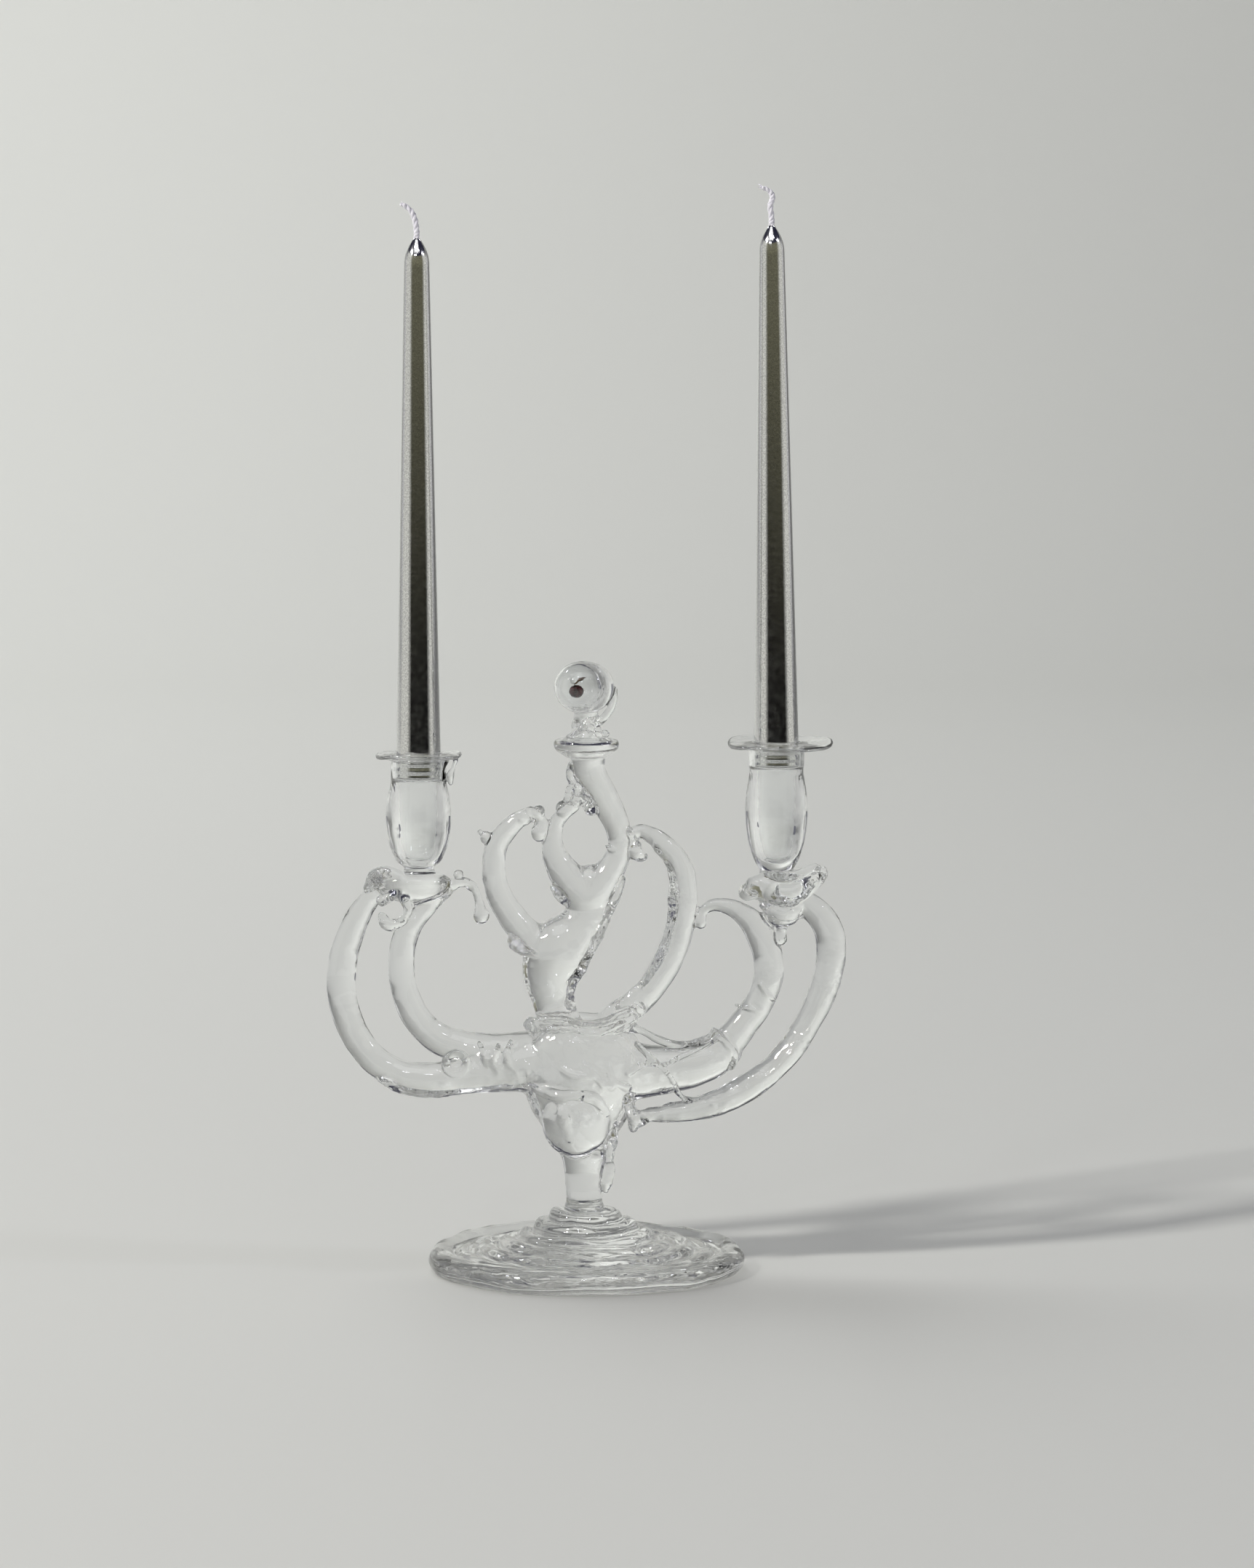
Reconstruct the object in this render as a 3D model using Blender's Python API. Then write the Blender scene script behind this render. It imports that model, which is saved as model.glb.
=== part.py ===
"""Hand-worked clear glass candelabrum for two taper candles, with a horned crown and a ball finial.

Frame: metres, +Z up. The origin is on the table under the middle of the foot, and the front faces -Y.
Shapes are written in millimetres and turned to metres as each mesh is made. The glass is made of many
bits that were fused together hot; here each bit is a solid of its own, and GAP is left where two meet.
"""

import math

import bmesh
import bpy
from mathutils import Vector

MM = 0.001
GAP = 0.3

# Driving dimensions, mm
FOOT_RADIUS = 76.0
FOOT_TOP = 29.4
STEM_X = -1.2
STEM_TOP = 55.0
HUB_X = -2.2
HUB_DEPTH = 0.82
ARM_SIDES = 11
THREAD_SIDES = 6
BEAD_SIDES = 9
CUP_SIDES = 20

TAPER_BASE = 10.7
TAPER_SHOULDER = 6.0
TAPER_LENGTH = 256.0
SOCKET_BORE = 11.2
WICK_RADIUS = 0.9
WICK_BORE = WICK_RADIUS + GAP

LEFT_CUP = Vector((-79.6, 0.0, 190.9))
LEFT_SEAT = 235.3
RIGHT_CUP = Vector((90.2, 0.0, 189.6))
RIGHT_SEAT = 241.2
RIGHT_LEAN = -0.0118

BALL_CENTRE = Vector((-1.0, 0.0, 278.9))
BALL_RADIUS = 14.5
BALL_SQUASH = 0.86
BALL_HOLLOW = Vector((-4.0, 0.0, 279.3))
HOLLOW_RADIUS = 7.6
VENT_RADIUS = 1.2


def clear_scene():
    for obj in list(bpy.data.objects):
        bpy.data.objects.remove(obj, do_unlink=True)


def make_material(name, colour, roughness, metallic=0.0, transmission=0.0):
    material = bpy.data.materials.new(name)
    material.use_nodes = True
    shader = material.node_tree.nodes["Principled BSDF"]
    shader.inputs["Base Color"].default_value = (*colour, 1.0)
    shader.inputs["Roughness"].default_value = roughness
    shader.inputs["Metallic"].default_value = metallic
    shader.inputs["Transmission Weight"].default_value = transmission
    shader.inputs["IOR"].default_value = 1.5
    return material


def add_object(name, bm, material):
    """Turns a finished mesh in millimetres into a named object in metres."""
    bmesh.ops.recalc_face_normals(bm, faces=bm.faces)
    bmesh.ops.triangulate(bm, faces=bm.faces)
    bmesh.ops.scale(bm, verts=bm.verts, vec=(MM, MM, MM))
    mesh = bpy.data.meshes.new(name)
    bm.to_mesh(mesh)
    bm.free()
    mesh.materials.append(material)
    mesh.shade_smooth()
    mesh.set_sharp_from_angle(angle=math.radians(50))
    obj = bpy.data.objects.new(name, mesh)
    bpy.context.scene.collection.objects.link(obj)
    return obj


def bridge_rings(bm, rings, closed=False):
    """Joins neighbouring rings of vertices with faces. A ring of one vertex is a pole."""
    pairs = list(zip(rings, rings[1:]))
    if closed:
        pairs.append((rings[-1], rings[0]))
    for low, high in pairs:
        sides = max(len(low), len(high))
        for i in range(sides):
            j = (i + 1) % sides
            corners = [low[i % len(low)], low[j % len(low)], high[j % len(high)], high[i % len(high)]]
            bm.faces.new(list(dict.fromkeys(corners)))


def turned(
    name, outline, material, centre=(0, 0, 0), sides=CUP_SIDES, depth=1.0, closed=False, shape=None
):
    """A lathe shape: (radius, height) points round a vertical axis. `shape` bends points by hand-work.

    A closed outline is a ring with a bore; an open one starts and ends on the axis.
    """
    bm = bmesh.new()
    rings = []
    for radius, height in outline:
        steps = 1 if radius == 0 else sides
        ring = []
        for i in range(steps):
            angle = math.tau * i / steps
            r, z = shape(radius, height, angle) if shape else (radius, height)
            place = Vector((r * math.cos(angle), depth * r * math.sin(angle), z))
            ring.append(bm.verts.new(place + Vector(centre)))
        rings.append(ring)
    bridge_rings(bm, rings, closed)
    return add_object(name, bm, material)


def ruffled(outline_radius, waves, ripple, lift, phase=0.0):
    """A hand-pinched rim: the radius and the height wave round the edge and stay calm at the middle."""

    def shape(radius, height, angle):
        near_edge = (radius / outline_radius) ** 2
        wave = math.sin(waves * angle + phase) + 0.5 * math.sin((waves - 2) * angle + 2 * phase)
        return radius * (1 + ripple * near_edge * wave), height + lift * near_edge * wave

    return shape


def smooth_route(points, steps):
    """A Catmull-Rom curve through hand-placed (x, y, z, radius) stations."""
    ends = [[2 * a - b for a, b in zip(points[0], points[1])]]
    tail = [[2 * a - b for a, b in zip(points[-1], points[-2])]]
    route = ends + [list(p) for p in points] + tail
    stations = []
    for a, b, c, d in zip(route, route[1:], route[2:], route[3:]):
        for step in range(steps):
            t = step / steps
            stations.append([
                0.5 * (
                    2 * q + (r - p) * t + (2 * p - 5 * q + 4 * r - s) * t**2
                    + (3 * q - p - 3 * r + s) * t**3
                )
                for p, q, r, s in zip(a, b, c, d)
            ])
    stations.append(list(points[-1]))
    return stations


def rounded_tip(station, direction):
    """Stations that close a rod's end as half a ball of its own radius."""
    x, y, z, radius = station
    tip = []
    for angle in (35, 65):
        reach = radius * math.sin(math.radians(angle))
        tip.append([*(Vector((x, y, z)) + reach * direction), radius * math.cos(math.radians(angle))])
    tip.append([*(Vector((x, y, z)) + radius * direction), 0.0])
    return tip


def rod(
    name, points, material, steps=2, sides=ARM_SIDES, depth=1.0,
    round_start=False, round_end=False, twist=None,
):
    """A drawn rod of round or flattened section along a route, with flat or rounded ends.

    Its sections stand across the route, with one side along Y, so a route may not run along Y.
    `twist` is (lobes, height of the lobes, turns over the length) for a rod of twisted strands.
    """
    stations = smooth_route(points, steps)
    places = [Vector(s[:3]) for s in stations]
    if round_start:
        start = rounded_tip(stations[0], (places[0] - places[1]).normalized())
        stations = start[::-1] + stations
    if round_end:
        stations += rounded_tip(stations[-1], (places[-1] - places[-2]).normalized())
    places = [Vector(s[:3]) for s in stations]
    bm = bmesh.new()
    rings = []
    for i, (*_, radius) in enumerate(stations):
        if radius == 0.0:
            rings.append([bm.verts.new(places[i])])
            continue
        along = (places[min(i + 1, len(places) - 1)] - places[max(i - 1, 0)]).normalized()
        across = along.cross(Vector((0, 1, 0))).normalized()
        front = across.cross(along)
        ring = []
        for k in range(sides):
            angle = math.tau * k / sides
            r = radius
            if twist:
                lobes, height, turns = twist
                r *= 1 + height * math.cos(lobes * (angle - math.tau * turns * i / len(stations)))
            offset = r * math.cos(angle) * across + depth * r * math.sin(angle) * front
            ring.append(bm.verts.new(places[i] + offset))
        rings.append(ring)
    bridge_rings(bm, rings)
    for end in (rings[0], rings[-1]):
        if len(end) > 1:
            bm.faces.new(end)
    return add_object(name, bm, material)


def bead(name, centre, radii, material, sides=BEAD_SIDES):
    """A small melted ball or seed of glass."""
    bm = bmesh.new()
    bmesh.ops.create_uvsphere(bm, u_segments=sides, v_segments=sides // 2 + 1, radius=1.0)
    bmesh.ops.scale(bm, verts=bm.verts, vec=radii)
    bmesh.ops.translate(bm, verts=bm.verts, vec=centre)
    return add_object(name, bm, material)


def subtract(piece, cutter):
    """Cuts a hidden helper out of a piece."""
    cutter.hide_render = True
    cutter.display_type = "WIRE"
    cutter.hide_set(True)
    cut = piece.modifiers.new(cutter.name, "BOOLEAN")
    cut.operation = "DIFFERENCE"
    cut.solver = "EXACT"
    cut.object = cutter


def cut_clear(piece, *neighbours):
    """Cuts a piece back so that GAP is left between it and each neighbour it was fused to."""
    for neighbour in neighbours:
        bm = bmesh.new()
        bm.from_mesh(neighbour.data)
        bm.normal_update()
        moves = [(v, v.co + v.normal * GAP * MM) for v in bm.verts]
        for vert, place in moves:
            vert.co = place
        mesh = bpy.data.meshes.new(neighbour.name + "_clearance")
        bm.to_mesh(mesh)
        bm.free()
        cutter = bpy.data.objects.new(f"{piece.name}_less_{neighbour.name}", mesh)
        bpy.context.scene.collection.objects.link(cutter)
        subtract(piece, cutter)


# ---- foot, stem and hub ----------------------------------------------------------------------------

def make_foot(glass):
    """A thick disc with a rolled rim and wound steps up to the stem."""
    outline = [
        (0, 0), (70.5, 0), (74.6, 1.6), (76, 5), (74.6, 8.4), (70.5, 10), (66, 8.6), (63, 6.9),
        (56, 6.6), (50.5, 8.2), (48, 11.4), (43, 13.2), (34, 14.2), (31.4, 17.6), (28, 19.4),
        (22.4, 20.2), (20.8, 23.2), (18.4, 24.8), (14.8, 25.4), (13.4, 28.2), (10.5, FOOT_TOP),
        (0, FOOT_TOP),
    ]

    def hand_made(radius, height, angle):
        bump = 0.010 * math.sin(5 * angle + 0.6) + 0.008 * math.sin(3 * angle + 2.0)
        near_edge = radius / FOOT_RADIUS
        lift = 0.5 * math.sin(3 * angle + 1.0) * near_edge if 8 < height < 20 else 0.0
        return radius * (1 + bump * near_edge), height + lift

    return turned("foot", outline, glass, sides=30, shape=hand_made)


def make_stem(glass):
    outline = [
        (0, FOOT_TOP + GAP), (9.6, FOOT_TOP + GAP), (9.9, 31.2), (8.5, 32.8), (8.7, 39),
        (9.6, 47), (11.2, STEM_TOP), (0, STEM_TOP),
    ]
    return turned("stem", outline, glass, centre=(STEM_X, 0, 0), sides=16)


def make_hub(glass):
    """The gather that every arm grows from: a funnel on the stem that swells and closes."""
    outline = [
        (0, STEM_TOP + GAP), (11.6, STEM_TOP + GAP), (13.5, 61), (17.5, 69), (23, 78), (28, 87),
        (30.2, 97), (29.6, 105), (27.4, 110.5), (23, 113.3), (0, 113.3),
    ]
    return turned("hub", outline, glass, centre=(HUB_X, 0, 0), sides=20, depth=HUB_DEPTH)


def make_hub_trims(glass, hub, stem):
    """A round bubble pressed on the front, and a long tear that ran down beside the stem."""
    boss = bead("front_boss", (-5, -15.5, 72.2), (16.2, 10, 16.2), glass, sides=14)
    cut_clear(boss, hub, stem)
    tear = rod("stem_tear", [
        (14.5, -5, 66, 1.4), (12.6, -5, 58, 1.9), (11.2, -4, 50, 2.2), (9.6, -4, 43, 2.7), (9.4, -4, 40, 2.4),
    ], glass, sides=THREAD_SIDES, round_start=True, round_end=True)
    cut_clear(tear, hub, stem)


# ---- left side -------------------------------------------------------------------------------------

def make_left_side(glass, hub):
    outer = rod("left_outer_arm", [
        (-94, 0, 188, 5.0), (-103, 0, 178, 5.0), (-111, 0, 164, 6.2), (-116.2, 0, 146, 7.1),
        (-115.4, 0, 127, 7.0), (-107, -1, 108, 6.9), (-93, -2, 96, 7.2), (-76, -3, 91.4, 8.1),
        (-57, -3, 92, 8.9), (-22, -3, 99, 10.2),
    ], glass)
    inner = rod("left_inner_arm", [
        (-50.6, -3, 176, 2.3), (-53.5, -3, 184, 2.1), (-59.5, -2, 186.4, 2.4), (-67, -1, 181.6, 3.2),
        (-75, 0, 174.4, 4.5), (-84.6, 0, 163, 5.8), (-88, 0, 147, 6.0), (-85.4, 1, 129.6, 6.6),
        (-76, 2, 115, 7.2), (-60, 3, 107.6, 7.8), (-22, 3, 104.4, 8.3),
    ], glass)
    saddle = turned("left_saddle", [
        (0, 176.5), (7, 177), (14, 180.5), (18.6, 185), (17.4, 188.6), (11, 190.5), (0, 190.6),
    ], glass, centre=(-83, 0, 0), sides=18, depth=0.72, shape=ruffled(18.6, 5, 0.05, 0.6, 1.2))
    cut_clear(outer, hub, saddle)
    cut_clear(inner, hub, outer, saddle)
    fold = bead("left_saddle_fold", (-98.5, -4, 187), (6.4, 5.4, 6.0), glass)
    cut_clear(fold, saddle, outer)
    curl = rod("left_saddle_curl", [
        (-88, -9.5, 181, 2.2), (-84.5, -10.5, 174, 2.4), (-88.5, -10.5, 168, 2.5), (-95, -9.5, 167.4, 3.2),
    ], glass, sides=THREAD_SIDES, round_start=True, round_end=True)
    cut_clear(curl, saddle, outer, inner)
    drop = bead("left_arm_drop", (-49.8, -3, 171.2), (4.0, 3.6, 4.4), glass)
    cut_clear(drop, inner)
    prunt = make_prunt(glass)
    cut_clear(prunt, outer, inner)


def make_prunt(glass):
    """A short tube end that faces forward at the fork of the left arms."""
    outline = [(2.3, 0), (5.2, 0), (6.2, 1.0), (6.4, 9.5), (2.3, 9.5)]
    prunt = turned("side_prunt", outline, glass, sides=14, closed=True)
    for vert in prunt.data.vertices:
        x, y, z = vert.co
        vert.co = (x - 61.8 * MM, z - 13.4 * MM, 100.2 * MM - y)
    return prunt


def make_cup(name, base, seat, top, swell, foot_radius, glass):
    """A thick bulb with an empty hollow below the shoulder that the candle stands on."""
    shoulder = seat - GAP
    z = base.z
    rise = shoulder - z
    outline = [
        (0, z), (foot_radius, z), (foot_radius - 0.6, z + 2.2), (0.70 * swell, z + 0.13 * rise),
        (0.91 * swell, z + 0.32 * rise), (swell, z + 0.56 * rise), (0.95 * swell, z + 0.78 * rise),
        (0.84 * swell, z + 0.95 * rise), (13.0, shoulder + 1), (13.0, top), (SOCKET_BORE, top),
        (SOCKET_BORE, shoulder), (9.6, shoulder), (8.9, z + 0.86 * rise), (8.5, z + 0.62 * rise),
        (7.8, z + 0.36 * rise), (6.0, z + 0.20 * rise), (3.0, z + 0.15 * rise), (0, z + 0.14 * rise),
    ]
    return turned(name, outline, glass, centre=(base.x, base.y, 0))


def make_flange(name, centre_x, bore_x, radius, bottom, thickness, tilt, glass):
    """A flat pan round the neck to catch wax, its edge thin and its front tipped down by `tilt`."""
    top = bottom + thickness
    outline = [
        (SOCKET_BORE, bottom), (14.5, bottom), (radius - 2, top - 2.2), (radius, top - 1.2),
        (radius - 1.2, top - 0.2), (radius - 5, top - 0.9), (SOCKET_BORE + 1.5, top), (SOCKET_BORE, top),
    ]

    def tipped(r, z, angle):
        edge = max(0.0, (r - 14.5) / (radius - 14.5))
        off_centre = edge * (centre_x - bore_x) * math.cos(angle)
        wobble = 0.6 * math.sin(3 * angle + 0.8) + 0.3 * math.sin(5 * angle)
        return r + off_centre, z + edge * (tilt * r * math.sin(angle) + wobble)

    return turned(name, outline, glass, centre=(bore_x, 0, 0), sides=CUP_SIDES, closed=True, shape=tipped)


def make_left_cup(glass):
    cup = make_cup("left_cup", LEFT_CUP, LEFT_SEAT, 244.6, 15.6, 7.6, glass)
    flange = make_flange("left_flange", -79.5, LEFT_CUP.x, 20.5, 244.9, 4.2, 0.0, glass)
    drip = rod("left_flange_drip", [
        (-62.6, -3, 246, 1.5), (-63.6, -3, 242, 1.7), (-65.2, -3, 238, 2.4), (-65.0, -3, 234.5, 2.0),
    ], glass, sides=THREAD_SIDES, round_start=True, round_end=True)
    cut_clear(drip, cup, flange)


# ---- right side ------------------------------------------------------------------------------------

def make_right_side(glass, hub):
    outer = rod("right_outer_arm", [
        (97, 0, 179, 6.0), (106, 0, 174.6, 6.6), (114, 0, 165.5, 7.2), (116.4, 0, 153, 7.2),
        (113.6, 0, 137, 7.0), (105, 0, 118, 6.4), (93, -1, 101, 6.0), (76, -3, 88, 6.5),
        (57, -5, 78.4, 5.6), (38, -9, 76, 4.0), (22.8, -15, 75, 3.0),
    ], glass, round_end=True)
    socket = rod("right_socket", [
        (16, 0, 93, 10.5), (34, 0, 94, 10.8), (50, 0, 97.4, 10.6), (61, 0, 102, 10.0), (66, 0, 104.6, 9.2),
    ], glass)
    horn = rod("right_inner_horn", [
        (54.9, -2, 170, 2.2), (58, -2, 174, 2.9), (65, -1, 175, 3.9), (74.6, 0, 170.6, 5.4),
        (82.6, 0, 161, 6.9), (86.6, 0, 146, 7.4), (83.4, 0, 131, 7.1), (75, 0, 118.6, 7.4),
        (64, 0, 106, 8.0), (56, 0, 99, 7.0),
    ], glass)
    saddle = turned("right_saddle", [
        (0, -6.4), (9, -6.2), (15.6, -3.4), (18.4, 0.6), (16.6, 3.8), (10, 4.6), (0, 4.7),
    ], glass, sides=18, depth=0.78, shape=ruffled(18.4, 4, 0.05, 0.9, 0.4))
    saddle.rotation_euler = (0, math.radians(-11), 0)
    saddle.location = Vector((93.4, 0, 184.4)) * MM
    apply_placement(saddle)
    cut_clear(outer, hub, saddle)
    cut_clear(socket, hub)
    cut_clear(horn, socket, saddle)
    frill = turned("right_saddle_frill", [
        (0, 164.5), (5.5, 165.4), (9.4, 169), (10, 173), (7.5, 177), (0, 178.4),
    ], glass, centre=(93.2, -2, 0), sides=14, shape=ruffled(10, 4, 0.08, 0.8))
    cut_clear(frill, saddle, outer, horn)
    drop = rod("right_saddle_drop", [
        (92.8, -4, 167.5, 2.6), (92.4, -4, 163, 2.4), (92.2, -4, 159.6, 3.0),
    ], glass, sides=THREAD_SIDES, round_start=True, round_end=True)
    cut_clear(drop, frill, horn)
    tip = bead("right_horn_drop", (54.4, -2, 166.4), (3.2, 3.0, 4.0), glass)
    cut_clear(tip, horn)
    return saddle


def apply_placement(obj):
    """Moves an object's place into its mesh."""
    bpy.context.view_layer.update()
    obj.data.transform(obj.matrix_world)
    obj.rotation_euler = (0, 0, 0)
    obj.location = (0, 0, 0)


def make_right_cup(glass, saddle):
    cup = make_cup("right_cup", RIGHT_CUP, RIGHT_SEAT, 250.8, 14.9, 8.6, glass)
    cut_clear(cup, saddle)
    make_flange("right_flange", 92.0, RIGHT_CUP.x, 25.0, 251.1, 4.0, 0.08, glass)


# ---- crown -----------------------------------------------------------------------------------------

def make_crown(glass, hub):
    """A crumpled wrap on the hub, a flat trunk that splits, and three horns that curl at their tips."""
    collar = turned("crown_wrap", [
        (0, 113.6), (22, 113.6), (26.4, 116.4), (26.6, 120), (23.6, 123), (15, 124.4), (0, 124.4),
    ], glass, centre=(-1.2, 0, 0), sides=24, depth=0.8, shape=ruffled(26.6, 9, 0.025, 0.45))
    cut_clear(collar, hub)
    trunk = rod("crown_trunk", [
        (-17.6, 0, 121, 9.6), (-17.8, 0, 131, 10.8), (-17.2, 0, 143, 15.2), (-13, 0, 153.6, 16.2),
        (-4.6, 0, 162, 12.6), (1.2, 0, 171, 10.6), (2.2, 0, 181, 10.4), (2.0, 0, 187, 8.6),
    ], glass, sides=14, depth=0.72, round_end=True)
    cut_clear(trunk, collar)
    left = rod("left_horn", [
        (-23.4, -3, 208, 3.2), (-21.6, -3, 214, 3.0), (-25.4, -3, 218.6, 3.1), (-31, -2, 216.4, 3.8),
        (-37.4, -1, 211, 4.8), (-42.6, 0, 203, 5.2), (-44, 0, 192, 5.7), (-42, 0, 181.4, 6.2),
        (-36.4, 0, 171, 6.5), (-27, 0, 159.4, 7.4), (-20, 0, 151, 8.0),
    ], glass, round_start=True)
    seed = bead("left_horn_seed", (-48.4, -1, 207.4), (3.0, 2.6, 3.2), glass)
    cut_clear(seed, left)
    branch = rod("centre_branch", [
        (3, 0, 181, 8.0), (8.4, 0, 189, 7.0), (13.6, 0, 197.6, 6.0), (14.6, 0, 208, 5.7),
        (12.2, 0, 218, 6.2), (7.4, 0, 227.6, 6.9), (2.2, 0, 235.6, 7.6), (0.8, 0, 241, 8.1),
        (0.6, 0, 246, 8.4),
    ], glass)
    cut_clear(branch, trunk)
    lobe = rod("centre_lobe", [
        (-2, 0, 182, 8.0), (-8, 0, 189, 7.4), (-13.4, 0, 197, 6.1), (-16.4, 0, 206, 5.2),
        (-14.8, 0, 215, 4.1), (-10.4, -1, 221.6, 3.2), (-4, -1, 224.4, 3.0), (2.2, -1, 221.6, 3.4),
    ], glass, round_end=True)
    cut_clear(lobe, trunk, branch)
    cut_clear(left, trunk, lobe)
    lobe_bead = bead("centre_lobe_bead", (-11.8, -4.4, 220.6), (4.2, 3.6, 4.4), glass)
    cut_clear(lobe_bead, lobe)
    right = rod("right_horn", [
        (24.4, -3, 199, 3.6), (22.6, -3, 205, 3.1), (24.4, -3, 210, 3.1), (30.4, -2, 209, 3.8),
        (37.6, -1, 203, 5.1), (44.6, 0, 193, 5.8), (46.8, 0, 180, 6.0), (45.4, 0, 165, 6.0),
        (41, 0, 151.4, 6.1), (34, 0, 139.6, 6.2), (25, 0, 129.4, 6.3), (12, 0, 121, 6.0),
    ], glass, round_start=True)
    cut_clear(right, collar, branch)
    wrap_bead = bead("crown_wrap_bead", (-25.4, -7.5, 118.6), (4.6, 4.2, 4.6), glass)
    cut_clear(wrap_bead, collar, hub)
    return trunk, right


def make_trails(glass, trunk, horn):
    """Thin threads of glass laid along the trunk's right edge and inside the right horn."""
    trunk_trail = rod("trunk_trail", [
        (10.4, -3, 183, 1.2), (9.6, -4, 174, 1.7), (7.6, -5, 167, 2.4), (5.6, -5, 160, 1.8),
        (1.4, -6, 152, 2.5), (-3.6, -6, 142, 2.1), (-6.6, -5, 133, 1.7), (-7.6, -4, 127.4, 2.4),
    ], glass, sides=THREAD_SIDES, round_start=True, round_end=True)
    cut_clear(trunk_trail, trunk, bpy.data.objects["centre_branch"], bpy.data.objects["crown_wrap"])
    horn_trail = rod("right_horn_trail", [
        (37.4, -2.5, 193, 1.2), (41.2, -4, 184, 1.9), (41.2, -4.5, 170, 2.3), (38.6, -4.5, 156, 1.8),
        (33, -4.5, 145, 2.2), (25.4, -4, 135.4, 2.6), (17.6, -4, 129, 2.2),
    ], glass, sides=THREAD_SIDES, round_start=True, round_end=True)
    cut_clear(horn_trail, horn, bpy.data.objects["crown_wrap"])


# ---- finial ----------------------------------------------------------------------------------------

def make_finial(glass, red_glass, amber_glass):
    disc = turned("neck_disc", [
        (0, 246.3), (9.5, 246.3), (13.2, 247.2), (15.2, 250), (15, 252.6), (12.6, 255.2), (9.5, 255.8),
        (0, 255.8),
    ], glass, sides=18)
    stem = rod("finial_strands", [
        (0, 0, 256.5, 9.4), (0.2, 0, 259, 7.4), (0.6, 0, 262, 5.8), (0.6, 0, 265, 5.4), (0.4, 0, 269, 6.4),
    ], glass, steps=1, sides=16, twist=(4, 0.13, 0.35))
    ball = make_ball(glass)
    cut_clear(stem, ball, disc)
    bead("charm_red_bead", (-3.6, 0, 276.8), (3.5, 3.0, 2.8), red_glass)
    bead("charm_clear_bead", (-4.9, 0, 282.4), (1.6, 1.6, 1.6), glass, sides=6)
    bead("charm_amber_chip", (-0.9, 0, 282.6), (2.0, 0.7, 0.8), amber_glass, sides=6)


def make_ball(glass):
    """A ball with an off-centre bubble that opens to the back through a small vent."""
    ball_radii = (BALL_RADIUS, BALL_RADIUS, BALL_RADIUS * BALL_SQUASH)
    ball = bead("finial_ball", BALL_CENTRE, ball_radii, glass, sides=18)
    hollow = bead("finial_ball_hollow", BALL_HOLLOW, (HOLLOW_RADIUS,) * 3, glass, sides=12)
    vent = rod("finial_ball_vent", [(0, 0, 0, VENT_RADIUS), (0, 0, 16, VENT_RADIUS)], glass, steps=1, sides=6)
    for vert in vent.data.vertices:
        x, y, z = vert.co
        vert.co = Vector((x, z, -y)) + BALL_HOLLOW * MM
    for cutter in (hollow, vent):
        subtract(ball, cutter)
    return ball


# ---- candles ---------------------------------------------------------------------------------------

def make_candle(side, base_x, seat, lean, wick_route, wax, cotton):
    """A dipped taper with a bore that holds its wick from end to end."""
    shoulder = TAPER_LENGTH - 10.6
    outline = [
        (WICK_BORE, 0), (TAPER_BASE - 0.8, 0), (TAPER_BASE, 1.0), (TAPER_BASE, 11),
        (TAPER_SHOULDER, shoulder), (5.3, shoulder + 4), (3.9, shoulder + 7.6), (2.2, shoulder + 10),
        (WICK_BORE, TAPER_LENGTH),
    ]
    taper = turned(f"{side}_taper", outline, wax, sides=18, closed=True)
    stations = [(0, 0, 1.0, WICK_RADIUS), (0, 0, TAPER_LENGTH - 2, WICK_RADIUS)]
    stations += [(x, y, TAPER_LENGTH + z, WICK_RADIUS) for x, y, z in wick_route]
    wick = rod(f"{side}_wick", stations, cotton, steps=1, sides=THREAD_SIDES)
    for piece in (taper, wick):
        for vert in piece.data.vertices:
            vert.co.x += lean * vert.co.z + base_x * MM
            vert.co.z += seat * MM


def main():
    clear_scene()
    glass = make_material("clear_glass", (0.95, 0.96, 0.96), 0.02, transmission=1.0)
    red_glass = make_material("red_glass", (0.35, 0.02, 0.015), 0.08)
    amber_glass = make_material("amber_glass", (0.55, 0.25, 0.03), 0.10)
    wax = make_material("silver_lacquered_wax", (0.45, 0.45, 0.44), 0.22, metallic=1.0)
    cotton = make_material("wick_cotton", (0.86, 0.84, 0.80), 0.9)

    make_foot(glass)
    stem = make_stem(glass)
    hub = make_hub(glass)
    make_hub_trims(glass, hub, stem)
    make_left_side(glass, hub)
    make_left_cup(glass)
    right_saddle = make_right_side(glass, hub)
    make_right_cup(glass, right_saddle)
    trunk, right_horn = make_crown(glass, hub)
    make_trails(glass, trunk, right_horn)
    make_finial(glass, red_glass, amber_glass)
    left_wick = [(0, 0, 3), (-0.8, 0, 8), (-2.6, 0, 12), (-7.2, 0, 15.6)]
    right_wick = [(0, 0, 3), (-0.6, 0, 8.6), (0.4, 0, 12), (-0.6, 0, 15), (-5.4, 0, 17.6)]
    make_candle("left", LEFT_CUP.x, LEFT_SEAT, 0.0, left_wick, wax, cotton)
    make_candle("right", RIGHT_CUP.x, RIGHT_SEAT, RIGHT_LEAN, right_wick, wax, cotton)


main()
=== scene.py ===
# %% [markdown]
# # A hand-worked glass candelabrum with two silver tapers
# The real piece is made at a lamp or a furnace: rods of clear glass are softened, bent and pressed together,
# so that foot, arms, horns and cups end up as one body of glass. Two dipped candles with a metallic lacquer
# stand in its cups. The CAD frame holds every bit of glass as its own solid, with a hair's gap where two
# bits meet. This lesson turns those bits into fused, fire-polished glass and gives the candles their finish.

# %% Load the frame
import math

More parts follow.
